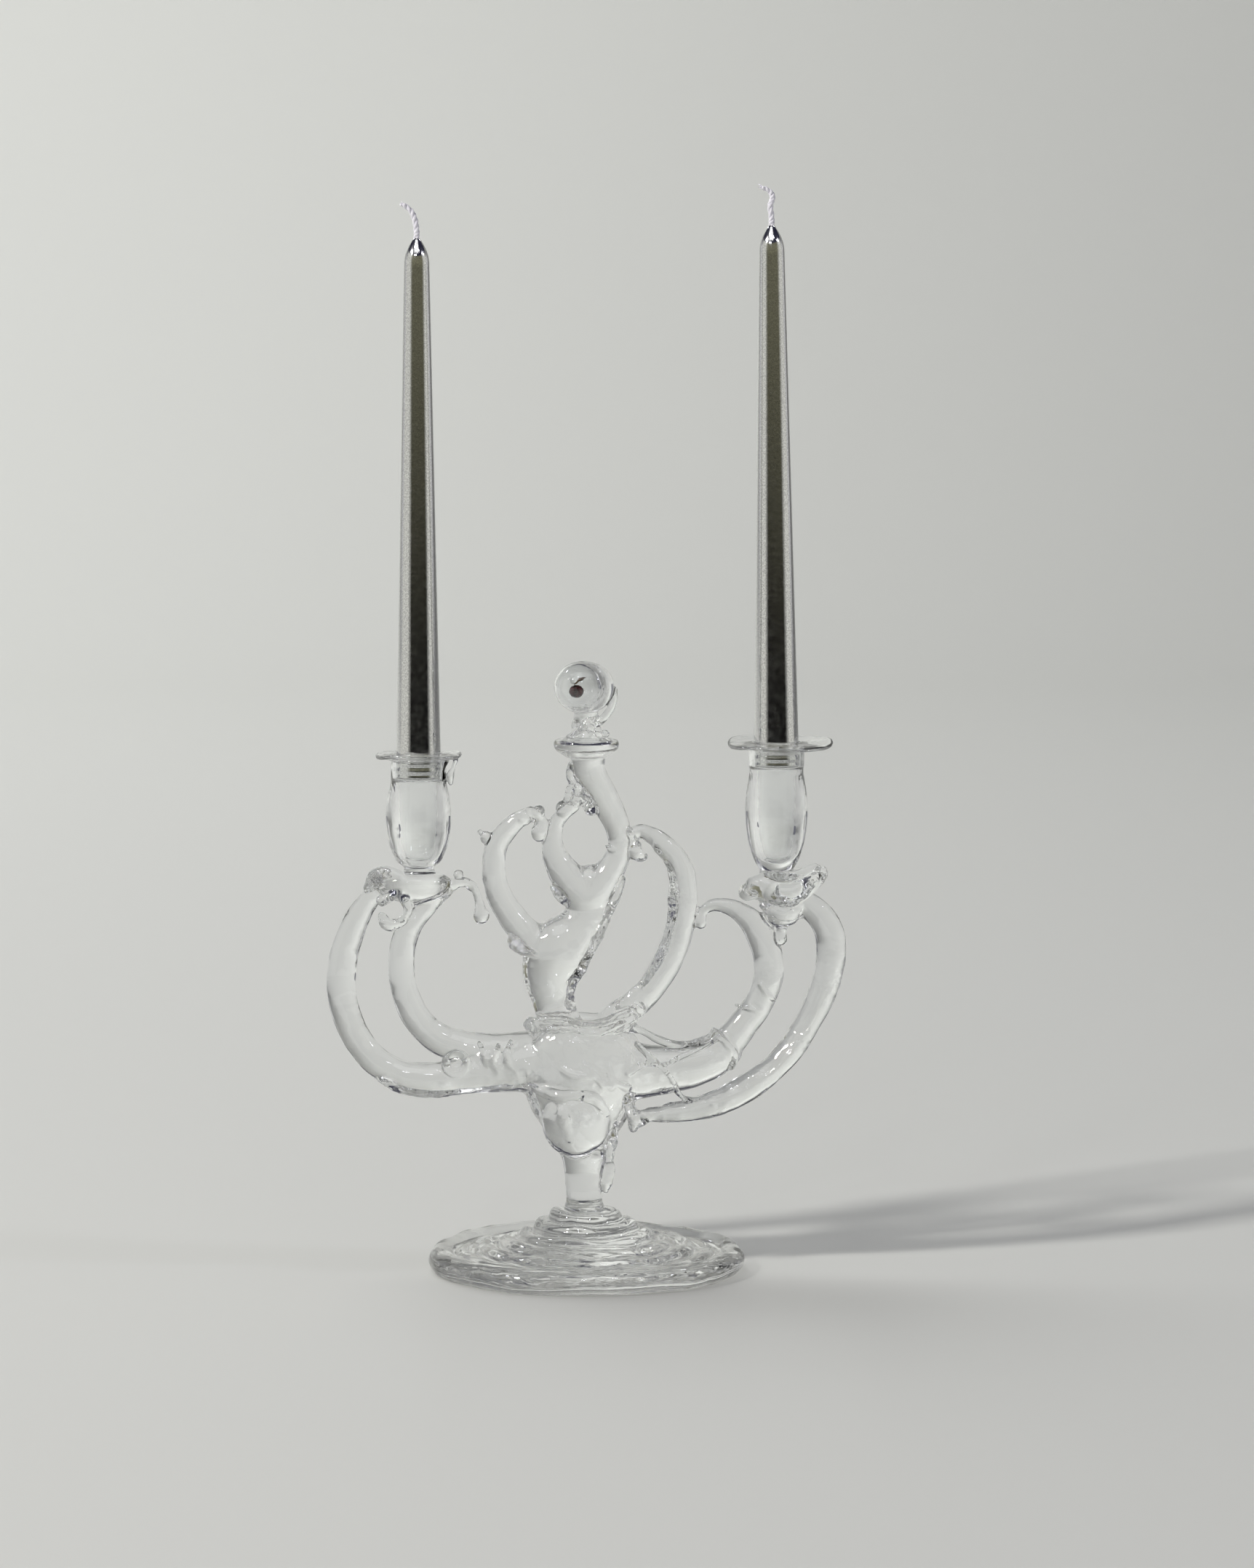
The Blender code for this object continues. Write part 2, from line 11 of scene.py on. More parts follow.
import bpy
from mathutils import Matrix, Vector


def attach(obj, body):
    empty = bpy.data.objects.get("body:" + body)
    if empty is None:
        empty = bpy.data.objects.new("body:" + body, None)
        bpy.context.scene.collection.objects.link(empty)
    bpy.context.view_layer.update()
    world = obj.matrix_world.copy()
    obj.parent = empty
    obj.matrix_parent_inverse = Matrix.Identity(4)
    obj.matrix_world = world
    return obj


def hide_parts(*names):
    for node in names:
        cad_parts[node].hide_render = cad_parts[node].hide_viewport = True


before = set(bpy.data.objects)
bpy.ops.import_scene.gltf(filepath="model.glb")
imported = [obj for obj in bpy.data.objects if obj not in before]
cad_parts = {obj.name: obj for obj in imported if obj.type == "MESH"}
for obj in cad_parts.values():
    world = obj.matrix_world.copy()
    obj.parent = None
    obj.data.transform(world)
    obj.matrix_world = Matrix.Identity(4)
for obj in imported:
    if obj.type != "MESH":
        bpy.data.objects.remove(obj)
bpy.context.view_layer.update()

MM = 0.001

# %% [markdown]
# ## Small helpers
# Operators act on everything that is selected, so each step starts by clearing the selection. Colours are
# written as the hex values a paint program shows, and one function turns them to Blender's linear values.

# %% Selection and colour helpers
def select_only(*objects):
    bpy.ops.object.select_all(action="DESELECT")
    for obj in objects:
        obj.select_set(True)
    bpy.context.view_layer.objects.active = objects[0]


def linear(hex_colour):
    channels = [int(hex_colour[i:i + 2], 16) / 255 for i in (1, 3, 5)]
    return tuple(c / 12.92 if c <= 0.04045 else ((c + 0.055) / 1.055) ** 2.4 for c in channels) + (1.0,)


def add_node(tree, kind, inputs=None, links=None, **settings):
    """Adds one shader node, sets its values, and links the sockets named in `links`."""
    node = tree.nodes.new(kind)
    for name, value in settings.items():
        setattr(node, name, value)
    for name, value in (inputs or {}).items():
        node.inputs[name].default_value = value
    for name, source in (links or {}).items():
        tree.links.new(source, node.inputs[name])
    return node


def finish_piece(obj, body, *nodes, slot, material):
    """Gives a finished piece its material and its body, and hides the CAD nodes it stands for. The slot is not
    used.
    """
    obj.data.materials.clear()
    obj.data.materials.append(material)
    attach(obj, body)
    if nodes:
        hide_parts(*nodes)
    print(f"{obj.name}: {len(obj.data.polygons)} faces, stands for {len(nodes)} nodes")


# %% [markdown]
# ## The studio
# Clear glass shows almost nothing of itself: it shows the room. A pale paper sweep runs from under the foot
# far back before it bends up. Low down the room is pale all round and overhead it is dark, so that the glass
# draws itself in thin grey lines and a few dark streaks. Polished silver shows what stands before it, so a
# curved card stands there, dark in its middle and pale at its ends. Only glass and silver see it.

# %% Paper sweep: one plane whose back edge is pulled up, with the fold bent round
SWEEP_FRONT, SWEEP_BACK, SWEEP_WIDTH, SWEEP_HEIGHT, SWEEP_BEND = -5.0, 5.2, 14.0, 4.5, 1.6

bpy.ops.object.select_all(action="DESELECT")
bpy.ops.mesh.primitive_plane_add(size=1.0, location=(0, (SWEEP_FRONT + SWEEP_BACK) / 2, 0))
sweep = bpy.context.active_object
sweep.name = "paper_sweep"
sweep.scale = (SWEEP_WIDTH, SWEEP_BACK - SWEEP_FRONT, 1)
bpy.ops.object.transform_apply(location=True, rotation=True, scale=True)
bpy.ops.object.mode_set(mode="EDIT")
bpy.ops.mesh.select_mode(type="EDGE")
bpy.ops.mesh.select_all(action="DESELECT")
bpy.ops.object.mode_set(mode="OBJECT")
for edge in sweep.data.edges:
    edge.select = all(sweep.data.vertices[i].co.y > SWEEP_BACK - 0.01 for i in edge.vertices)
bpy.ops.object.mode_set(mode="EDIT")
bpy.ops.mesh.extrude_region_move(TRANSFORM_OT_translate={"value": (0, 0, SWEEP_HEIGHT)})
bpy.ops.object.mode_set(mode="OBJECT")
for edge in sweep.data.edges:
    ends = [sweep.data.vertices[i].co for i in edge.vertices]
    edge.select = all(abs(p.z) < 0.01 and p.y > SWEEP_BACK - 0.01 for p in ends)
bpy.ops.object.mode_set(mode="EDIT")
bpy.ops.mesh.bevel(offset=SWEEP_BEND, segments=32, affect="EDGES")
bpy.ops.object.mode_set(mode="OBJECT")
bpy.ops.object.shade_smooth()
print("sweep faces:", len(sweep.data.polygons))

# %% Matte pale paper: heavy uncoated stock, which has almost no sheen
paper = bpy.data.materials.new("matte_paper")
paper.use_nodes = True
shader = paper.node_tree.nodes["Principled BSDF"]
shader.inputs["Roughness"].default_value = 0.9
shader.inputs["Specular IOR Level"].default_value = 0.1
shader.inputs["Base Color"].default_value = linear("#DCDDD8")
sweep.data.materials.append(paper)
print("the sweep is", paper.name)

# %% Curved card: an open cylinder that is cut away behind. Turns are measured from straight ahead
CARD_RADIUS, CARD_HEIGHT, CARD_BOTTOM = 1.6, 1.5, -0.2
CARD_LEFT, CARD_RIGHT, CARD_END = math.radians(60), math.radians(72), math.radians(103)

bpy.ops.object.select_all(action="DESELECT")
bpy.ops.mesh.primitive_cylinder_add(vertices=96, radius=CARD_RADIUS, depth=CARD_HEIGHT,
                                    end_fill_type="NOTHING", location=(0, 0, CARD_BOTTOM + CARD_HEIGHT / 2))
card = bpy.context.active_object
card.name = "dark_card"
bpy.ops.object.transform_apply(location=True, rotation=True, scale=True)
bpy.ops.object.mode_set(mode="EDIT")
bpy.ops.mesh.select_mode(type="FACE")
bpy.ops.object.mode_set(mode="OBJECT")
for face in card.data.polygons:
    turn = math.atan2(face.center.x, -face.center.y)
    face.select = abs(turn) > CARD_END
bpy.ops.object.mode_set(mode="EDIT")
bpy.ops.mesh.delete(type="FACE")
bpy.ops.object.mode_set(mode="OBJECT")
for sees in ("camera", "diffuse", "shadow"):
    setattr(card, "visible_" + sees, False)
print("card faces:", len(card.data.polygons))

# %% Painted reflection on the card: it glows near black low down, olive grey above, and fading to pale at both ends
CARD_FADE = math.radians(20)

# Painted reflection: the card glows with these colours, and silver and glass mirror them as their dark band and
# pale sides.
painted_reflection = bpy.data.materials.new("painted_reflection_glow")
painted_reflection.use_nodes = True
tree = painted_reflection.node_tree
tree.nodes.clear()
place = add_node(tree, "ShaderNodeTexCoord")
split = add_node(tree, "ShaderNodeSeparateXYZ", links={"Vector": place.outputs["Object"]})
climb = add_node(tree, "ShaderNodeMapRange", inputs={"From Min": 0.25, "From Max": 0.62},
                 links={"Value": split.outputs["Z"]})
ramp = add_node(tree, "ShaderNodeValToRGB", links={"Fac": climb.outputs["Result"]})
ramp.color_ramp.elements[0].color = linear("#0C0C0C")
ramp.color_ramp.elements[1].color = linear("#7A7864")
ahead = add_node(tree, "ShaderNodeMath", operation="MULTIPLY", inputs={1: -1.0},
                 links={0: split.outputs["Y"]})
around = add_node(tree, "ShaderNodeMath", operation="ARCTAN2",
                  links={0: split.outputs["X"], 1: ahead.outputs["Value"]})
offset = add_node(tree, "ShaderNodeMath", operation="SUBTRACT", inputs={1: (CARD_RIGHT - CARD_LEFT) / 2},
                  links={0: around.outputs["Value"]})
aside = add_node(tree, "ShaderNodeMath", operation="ABSOLUTE", links={0: offset.outputs["Value"]})
half_turn = (CARD_RIGHT + CARD_LEFT) / 2
fade = add_node(tree, "ShaderNodeMapRange", links={"Value": aside.outputs["Value"]},
                inputs={"From Min": half_turn - CARD_FADE, "From Max": half_turn})
# Sockets 6 and 7 are the two colours of a Mix node, and output 2 is its colour.
edge = add_node(tree, "ShaderNodeMix", data_type="RGBA", inputs={7: linear("#DADAD4")},
                links={"Factor": fade.outputs["Result"], 6: ramp.outputs["Color"]})
glow = add_node(tree, "ShaderNodeEmission", links={"Color": edge.outputs[2]})
add_node(tree, "ShaderNodeOutputMaterial", links={"Surface": glow.outputs["Emission"]})
card.data.materials.append(painted_reflection)
print("the card is", painted_reflection.name)

# %% Room: pale up to 10 degrees above the floor, dark from 29 degrees up (the ramp runs over the sine)
PALE_UNTIL, DARK_FROM = 0.18, 0.48

world = bpy.data.worlds.new("pale_room")
bpy.context.scene.world = world
world.use_nodes = True
tree = world.node_tree
background = tree.nodes["Background"]
place = add_node(tree, "ShaderNodeTexCoord")
split = add_node(tree, "ShaderNodeSeparateXYZ", links={"Vector": place.outputs["Generated"]})
ramp = add_node(tree, "ShaderNodeValToRGB", links={"Fac": split.outputs["Z"]})
ramp.color_ramp.elements[0].position, ramp.color_ramp.elements[0].color = PALE_UNTIL, linear("#CFCFCF")
ramp.color_ramp.elements[1].position, ramp.color_ramp.elements[1].color = DARK_FROM, linear("#2A2A3C")
tree.links.new(ramp.outputs["Color"], background.inputs["Color"])
background.inputs["Strength"].default_value = 1.0
print("room:", world.name)


# %% Soft boxes: a key from the left front, a weak one nearer the camera and a weak one on the right
# The box on top is seen by glass and silver only, and the wide sheet overhead lights matte things only.
def soft_box(name, place, aim, size, power, tint="#FFFFFF"):
    bpy.ops.object.select_all(action="DESELECT")
    bpy.ops.object.light_add(type="AREA", location=place)
    lamp = bpy.context.active_object
    lamp.name = name
    lamp.data.size = size
    lamp.data.energy = power
    lamp.data.color = linear(tint)[:3]
    lamp.rotation_euler = (Vector(aim) - Vector(place)).to_track_quat("-Z", "Y").to_euler()
    return lamp


soft_box("key_box", (-2.6, -1.8, 2.7), (0, 0, 0.15), 0.42, 94, "#FFFDFA")
soft_box("front_box", (-1.5, -3.6, 2.6), (0, 0, 0.15), 0.25, 5)
soft_box("side_box", (2.6, -0.5, 1.9), (0, 0, 0.1), 0.21, 6.5, "#EEF0FF")
top = soft_box("top_box", (-0.1, -1.0, 2.1), (0, 0, 0.4), 1.4, 9)
top.visible_diffuse = False
sheet = soft_box("sheet_overhead", (-2.2, 2.8, 3.6), (-2.2, 2.8, 0), 4.0, 128)
sheet.visible_glossy = sheet.visible_transmission = False

# %% Small bare lamps high up: every curl of glass mirrors them as white dots, and the paper doesn't see them
SPARKS = [(-70, 40), (-35, 58), (-8, 36), (30, 50), (66, 38), (125, 48), (-130, 44)]
SPARK_AIM, SPARK_DISTANCE = Vector((0, 0, 0.2)), 2.2
for turn, rise in SPARKS:
    turn, rise = math.radians(turn), math.radians(rise)
    level = math.cos(rise)
    away = Vector((math.sin(turn) * level, -math.cos(turn) * level, math.sin(rise)))
    spark = soft_box("spark_lamp", away * SPARK_DISTANCE + SPARK_AIM, SPARK_AIM, 0.11, 1.6, "#F4F4FF")
    spark.visible_diffuse = False

# %% Two flags beside the piece, a little behind it, glow a cool dark grey that only glass sees: painted shade that draws the thin edges of upright glass
FLAG_TURN, FLAG_DISTANCE, FLAG_MIDDLE, FLAG_WIDTH, FLAG_HEIGHT = 112, 2.2, 0.7, 0.5, 1.9

painted_edge_shade = bpy.data.materials.new("glowing_edge_shade")
painted_edge_shade.use_nodes = True
tree = painted_edge_shade.node_tree
tree.nodes.clear()
# Painted shade: the flags glow this cool dark grey, which the glass bends into its edges as thin dark lines.
glow = add_node(tree, "ShaderNodeEmission", inputs={"Color": linear("#5C5C68")})
add_node(tree, "ShaderNodeOutputMaterial", links={"Surface": glow.outputs["Emission"]})
for turn in (FLAG_TURN, -FLAG_TURN):
    angle = math.radians(turn)
    place = Vector((FLAG_DISTANCE * math.sin(angle), -FLAG_DISTANCE * math.cos(angle), FLAG_MIDDLE))
    facing = math.atan2(place.y, place.x) + math.pi / 2
    bpy.ops.object.select_all(action="DESELECT")
    bpy.ops.mesh.primitive_plane_add(size=1.0, location=place, rotation=(math.pi / 2, 0, facing))
    flag = bpy.context.active_object
    flag.name = "side_flag"
    flag.scale = (FLAG_WIDTH, FLAG_HEIGHT, 1)
    bpy.ops.object.transform_apply(location=True, rotation=True, scale=True)
    for sees in ("camera", "diffuse", "glossy", "shadow"):
        setattr(flag, "visible_" + sees, False)
    flag.data.materials.append(painted_edge_shade)
    print("flag at", [round(v, 2) for v in place])

# %% Camera: a long lens a little above the flanges
CAMERA_DISTANCE, CAMERA_HEIGHT, CAMERA_SIDE = 2.6, 0.481, 0.0193
AIM_HEIGHT = 0.2329
LENS = 126.4

bpy.ops.object.camera_add(location=(CAMERA_SIDE, -CAMERA_DISTANCE, CAMERA_HEIGHT))
camera = bpy.context.active_object
pitch = math.atan2(CAMERA_HEIGHT - AIM_HEIGHT, CAMERA_DISTANCE)
camera.rotation_euler = (math.pi / 2 - pitch, 0, 0)
camera.data.lens = LENS
camera.data.sensor_width = 36.0
camera.data.clip_start, camera.data.clip_end = 0.1, 20
scene = bpy.context.scene
scene.camera = camera
scene.view_settings.view_transform = "Standard"
scene.cycles.max_bounces = 32
scene.cycles.transmission_bounces = 32
scene.cycles.glossy_bounces = 12
# The glass below lets the lamps' light through to the paper, so bent light isn't counted a second time.
scene.cycles.caustics_refractive = False
print("camera pitch down, degrees:", round(math.degrees(pitch), 2))

# %% [markdown]
# ## Fire-polished glass
# Soda-lime glass has an IOR near 1.52. Flame polishing leaves no roughness at all, but the surface keeps the
# slow waves of hand work, and creases where it was pinched. Both are drawn by a soft bump of real size: waves
# about 9 mm apart all over, and creases about 3 mm apart that grow with the attribute "pinched". On the real
# piece light passes through the glass to the paper, but a shadow ray would stop at the glass and leave a black
# shadow. So shadow rays go through a tinted transparent shader, which takes most where they graze the sides.

# %% Clear glass: its tint, and the tints that its shadow has where rays meet it square on and at a graze
WAVE_STEP, CREASE_STEP, CREASE_DEPTH = 9 * MM, 3 * MM, 1.5


def make_glass(name, tint, square_tint, graze_tint, wave):
    material = bpy.data.materials.new(name)
    material.use_nodes = True
    tree = material.node_tree
    shader = tree.nodes["Principled BSDF"]
    shader.inputs["Base Color"].default_value = linear(tint)
    shader.inputs["Roughness"].default_value = 0.0
    shader.inputs["IOR"].default_value = 1.52
    shader.inputs["Transmission Weight"].default_value = 1.0
    place = add_node(tree, "ShaderNodeTexCoord")
    waves = add_node(tree, "ShaderNodeTexNoise", links={"Vector": place.outputs["Object"]},
                     inputs={"Scale": 1 / WAVE_STEP, "Detail": 1.6, "Roughness": 0.45})
    creases = add_node(tree, "ShaderNodeTexNoise", links={"Vector": place.outputs["Object"]},
                       inputs={"Scale": 1 / CREASE_STEP, "Detail": 1.0, "Distortion": 0.6})
    pinched = add_node(tree, "ShaderNodeAttribute", attribute_name="pinched")
    deep = add_node(tree, "ShaderNodeMath", operation="MULTIPLY", inputs={1: CREASE_DEPTH},
                    links={0: pinched.outputs["Fac"]})
    height = add_node(tree, "ShaderNodeMath", operation="MULTIPLY_ADD",
                      links={0: creases.outputs["Fac"], 1: deep.outputs["Value"], 2: waves.outputs["Fac"]})
    bump = add_node(tree, "ShaderNodeBump", inputs={"Strength": wave, "Distance": 1.0 * MM},
                    links={"Height": height.outputs["Value"]})
    tree.links.new(bump.outputs["Normal"], shader.inputs["Normal"])
    graze = add_node(tree, "ShaderNodeLayerWeight", inputs={"Blend": 0.35})
    shade = add_node(tree, "ShaderNodeValToRGB", links={"Fac": graze.outputs["Facing"]})
    shade.color_ramp.elements[0].color = linear(square_tint)
    shade.color_ramp.elements[1].color = linear(graze_tint)
    through = add_node(tree, "ShaderNodeBsdfTransparent", links={"Color": shade.outputs["Color"]})
    path = add_node(tree, "ShaderNodeLightPath")
    either = add_node(tree, "ShaderNodeMixShader", links={0: path.outputs["Is Shadow Ray"]})
    tree.links.new(shader.outputs["BSDF"], either.inputs[1])
    tree.links.new(through.outputs["BSDF"], either.inputs[2])
    tree.links.new(either.outputs["Shader"], tree.nodes["Material Output"].inputs["Surface"])
    return material


# The body was polished all over in the flame, so its waves are soft and its surface like water. The foot was
# wound from a coil and melted less: its coils make the pattern, so its own bump is weaker. It lies on the
# paper, and hardly dims it.
clear_glass = make_glass("fire_polished_clear_glass", "#FDFEFE", "#A4A4A4", "#1C1C1C", 0.40)
foot_clear_glass = make_glass("wound_clear_glass", "#FDFEFE", "#FFFFFF", "#E0E0E0", 0.30)
print("glass:", clear_glass.name, "and", foot_clear_glass.name)

# %% [markdown]
# ## Two ways of shaping glass
# A lampworker has rods, which are drawn and bent while soft, and gathers, which are turned round an axis. A rod
# is a curve here: a round section runs along it and takes its radius from each point. A turned bit is an outline
# drawn point by point and spun round the upright axis, as on a lathe.

# %% Rods: stations are (x, y, z, radius) in millimetres
def draw_rod(name, stations, depth=1.0, rounded=True):
    bpy.ops.object.select_all(action="DESELECT")
    bpy.ops.curve.primitive_bezier_curve_add()
    rod = bpy.context.active_object
    rod.name = name
    line = rod.data
    line.splines.clear()
    path = line.splines.new("BEZIER")
    path.bezier_points.add(len(stations) - 1)
    for point, (x, y, z, radius) in zip(path.bezier_points, stations):
        point.co = Vector((x, y, z)) * MM
        point.radius = radius
        point.handle_left_type = point.handle_right_type = "AUTO"
    path.radius_interpolation = "CARDINAL"
    path.resolution_u = 8
    line.bevel_depth = MM
    line.bevel_resolution = 6
    line.use_fill_caps = True
    bpy.ops.object.convert(target="MESH")
    bits = [rod]
    for x, y, z, radius in (stations[0], stations[-1]) if rounded else ():
        bits.append(drop(name, (x, y, z), (radius,) * 3))
    select_only(*bits)
    if len(bits) > 1:
        bpy.ops.object.join()
    if depth != 1.0:
        bpy.ops.object.mode_set(mode="EDIT")
        bpy.ops.mesh.select_all(action="SELECT")
        bpy.ops.transform.resize(value=(1, depth, 1), center_override=(0, 0, 0))
        bpy.ops.object.mode_set(mode="OBJECT")
    return bpy.context.active_object


def drop(name, centre, radii, rings=14):
    """A round drop of glass, squashed to the three radii."""
    bpy.ops.object.select_all(action="DESELECT")
    bpy.ops.mesh.primitive_uv_sphere_add(segments=2 * rings, ring_count=rings, radius=MM)
    blob = bpy.context.active_object
    blob.name = name
    bpy.ops.transform.resize(value=radii)
    bpy.ops.transform.translate(value=Vector(centre) * MM)
    bpy.ops.object.transform_apply(location=True, rotation=True, scale=True)
    return blob


# %% Turned bits
def smooth_line(points, steps=6):
    """Rounds a drawn outline: a Catmull-Rom line through its points."""
    ends = [points[0]] + list(points) + [points[-1]]
    line = [points[0]]
    for p0, p1, p2, p3 in zip(ends, ends[1:], ends[2:], ends[3:]):
        for i in range(1, steps + 1):
            t = i / steps
            line.append(tuple(
                0.5 * (2 * b + (c - a) * t + (2 * a - 5 * b + 4 * c - d) * t * t
                       + (3 * b - a - 3 * c + d) * t ** 3)
                for a, b, c, d in zip(p0, p1, p2, p3)))
    return line


def lathe(name, outline, centre=(0, 0), steps=96, depth=1.0, closed=False):
    """Draws an outline of (radius, height) in mm point by point, then spins it round the upright axis."""
    bpy.ops.object.select_all(action="DESELECT")
    bpy.ops.mesh.primitive_plane_add(size=MM)
    turned = bpy.context.active_object
    turned.name = turned.data.name = name
    bpy.ops.object.mode_set(mode="EDIT")
    bpy.ops.mesh.select_mode(type="VERT")
    bpy.ops.mesh.select_all(action="SELECT")
    bpy.ops.mesh.merge(type="CENTER")
    first = Vector((max(outline[0][0], 0), 0, outline[0][1])) * MM
    bpy.ops.transform.translate(value=first)
    corners = outline + outline[:1] if closed else outline
    for (r0, z0), (r1, z1) in zip(corners, corners[1:]):
        step = (Vector((max(r1, 0), 0, z1)) - Vector((max(r0, 0), 0, z0))) * MM
        bpy.ops.mesh.extrude_vertices_move(TRANSFORM_OT_translate={"value": step})
    bpy.ops.mesh.select_all(action="SELECT")
    bpy.ops.mesh.remove_doubles(threshold=1e-6)
    bpy.ops.mesh.spin(steps=steps, angle=math.tau, center=(0, 0, 0), axis=(0, 0, 1))
    bpy.ops.mesh.select_all(action="SELECT")
    bpy.ops.mesh.remove_doubles(threshold=1e-6)
    bpy.ops.mesh.normals_make_consistent(inside=False)
    bpy.ops.transform.resize(value=(1, depth, 1), center_override=(0, 0, 0))
    bpy.ops.transform.translate(value=(centre[0] * MM, centre[1] * MM, 0))
    bpy.ops.object.mode_set(mode="OBJECT")
    return turned


# %% [markdown]
# ## Fusing and fire polishing
# A voxel remesh makes one skin round all the overlapping bits, as the furnace does. Smoothing then does what the
# flame does: it rounds each edge and fills the corners where two bits meet. Slow waves of hand work are pressed
# in with a soft cloud pattern, and a second, finer one crumples the places where glass was pinched and wrapped.

# %% Fuse helper
def cloud(name, size):
    pattern = bpy.data.textures.new(name, "CLOUDS")
    pattern.noise_scale = size * MM
    pattern.noise_depth = 1
    return pattern


WAVES = cloud("slow_waves", 16)
PINCHES = cloud("pinched_glass", 4.2)


def nearness(skin, zones):
    """How deep each point of the skin lies in the zones of (x, y, z, reach) in mm, from 0 to 1."""
    centres = [(Vector(zone[:3]) * MM, zone[3] * MM) for zone in zones]
    return [min(1.0, max(0.0, max(1.4 * (1 - (vert.co - middle).length / reach)
                                  for middle, reach in centres)))
            for vert in skin.data.vertices]


def in_zones(skin, modifier, zones):
    """Limits a modifier to the zones, then applies it."""
    group = skin.vertex_groups.new(name="zone")
    for index, weight in enumerate(nearness(skin, zones)):
        if weight > 0:
            group.add([index], weight, "REPLACE")
    modifier.vertex_group = group.name
    bpy.ops.object.modifier_apply(modifier=modifier.name)
    skin.vertex_groups.clear()


def press(skin, pattern, strength, zones=None):
    """Moves the skin in and out by a cloud pattern, all over or only within the zones."""
    dent = skin.modifiers.new("press", "DISPLACE")
    dent.texture = pattern
    dent.texture_coords = "LOCAL"
    dent.strength = strength * MM
    dent.mid_level = 0.5
    if zones:
        in_zones(skin, dent, zones)
    else:
        bpy.ops.object.modifier_apply(modifier=dent.name)


def flame(skin, rounds, zones=None):
    """Smooths the skin, all over or only within the zones."""
    heat = skin.modifiers.new("flame", "SMOOTH")
    heat.factor, heat.iterations = 0.5, rounds
    if zones:
        in_zones(skin, heat, zones)
    else:
        bpy.ops.object.modifier_apply(modifier=heat.name)


def fuse(name, bits, voxel):
    """One skin of glass round all the bits."""
    select_only(*bits)
    bpy.ops.object.join()
    skin = bpy.context.active_object
    skin.name = skin.data.name = name
    skin.data.remesh_voxel_size = voxel * MM
    bpy.ops.object.voxel_remesh()
    return skin


def thin_out(skin, most_triangles=195000):
    """Keeps a piece under the library's limit of 200,000 triangles."""
    triangles = sum(len(face.vertices) - 2 for face in skin.data.polygons)
    if triangles > most_triangles:
        thin = skin.modifiers.new("thin", "DECIMATE")
        thin.ratio = most_triangles / triangles
        bpy.ops.object.modifier_apply(modifier=thin.name)
    print(f"{skin.name}: {triangles} triangles as fused")


# %% [markdown]
# ## The body
# The hub is a gather on top of the stem. Four arms grow out of it, two on each side, and curl in at the top;
# the crown is a flat trunk that splits into horns. Threads of glass laid on while hot run along the arms and
# catch the light, because their many small curves each mirror a soft box.

# %% Stem, hub and the bubble on its front. Big forms go in one list and thin bits in another
body = [
    lathe("stem", [(0, 27), (9.9, 28), (9.6, 30.5), (8.5, 33), (8.6, 39), (9.4, 47), (11.4, 56), (0, 60)],
          centre=(-1.2, 0)),
    lathe("hub", smooth_line([(0, 52), (9, 53), (13.5, 60), (19, 68), (24, 77), (28, 87), (29.6, 97),
                              (28.6, 106), (25, 113), (18, 117.5), (0, 119)]), centre=(-2.2, 0), depth=0.62),
    drop("front_bubble", (-5, -11.5, 72.2), (16.2, 9.5, 16.2)),
]
threads = [
    draw_rod("bubble_curl", [(-19, -14, 88, 2.2), (-14, -19, 86.5, 3.0), (-5, -21.5, 87, 2.6),
                             (4, -20, 85, 3.0), (9.5, -16, 78, 2.0)]),
    draw_rod("bubble_fold", [(-12, -19, 82, 2.2), (-10, -20.5, 74, 3.2), (-8, -19.5, 66, 2.0)]),
    draw_rod("stem_tear", [(13, -9, 70, 2.4), (12.8, -6, 62, 2.4), (11.6, -5, 55, 1.9),
                           (10.8, -4, 49, 2.8), (9.6, -4, 42, 3.1), (9.2, -4, 38.6, 1.6)]),
]
print("so far:", len(body), "big forms and", len(threads), "thin bits")

# %% Left side: two arms, the saddle under the cup, and the tube end at the fork
body += [
    draw_rod("left_outer_arm", [(-92, 0, 188, 4.6), (-103, 0, 178, 5.0), (-111, 0, 164, 6.2),
                                (-116.2, 0, 146, 7.0), (-115.4, 0, 127, 7.0), (-107, -1, 108, 7.0),
                                (-93, -2, 96, 7.2), (-76, -3, 92, 7.8), (-57, -3, 94, 9.0),
                                (-38, -2, 97, 11.5), (-18, -1, 99, 14)]),
    draw_rod("left_inner_arm", [(-50.2, -3, 172, 3.2), (-51, -3, 177, 2.2), (-53.5, -3, 184, 2.1),
                                (-59.5, -2, 186.4, 2.6), (-67, -1, 181.6, 3.4), (-75, 0, 174.4, 4.5),
                                (-84.6, 0, 163, 5.8), (-88, 0, 147, 6.2), (-85.4, 1, 129.6, 6.6),
                                (-76, 2, 115, 7.2), (-60, 2, 106.6, 8.2), (-40, 2, 104, 9.8),
                                (-20, 1, 103, 12.5)]),
    lathe("left_saddle", smooth_line([(0, 176.5), (7, 177), (14, 180.5), (18.2, 185), (17.0, 188.6),
                                      (11, 190.3), (0, 190.6)], 3), centre=(-83, 0), depth=0.72),
]
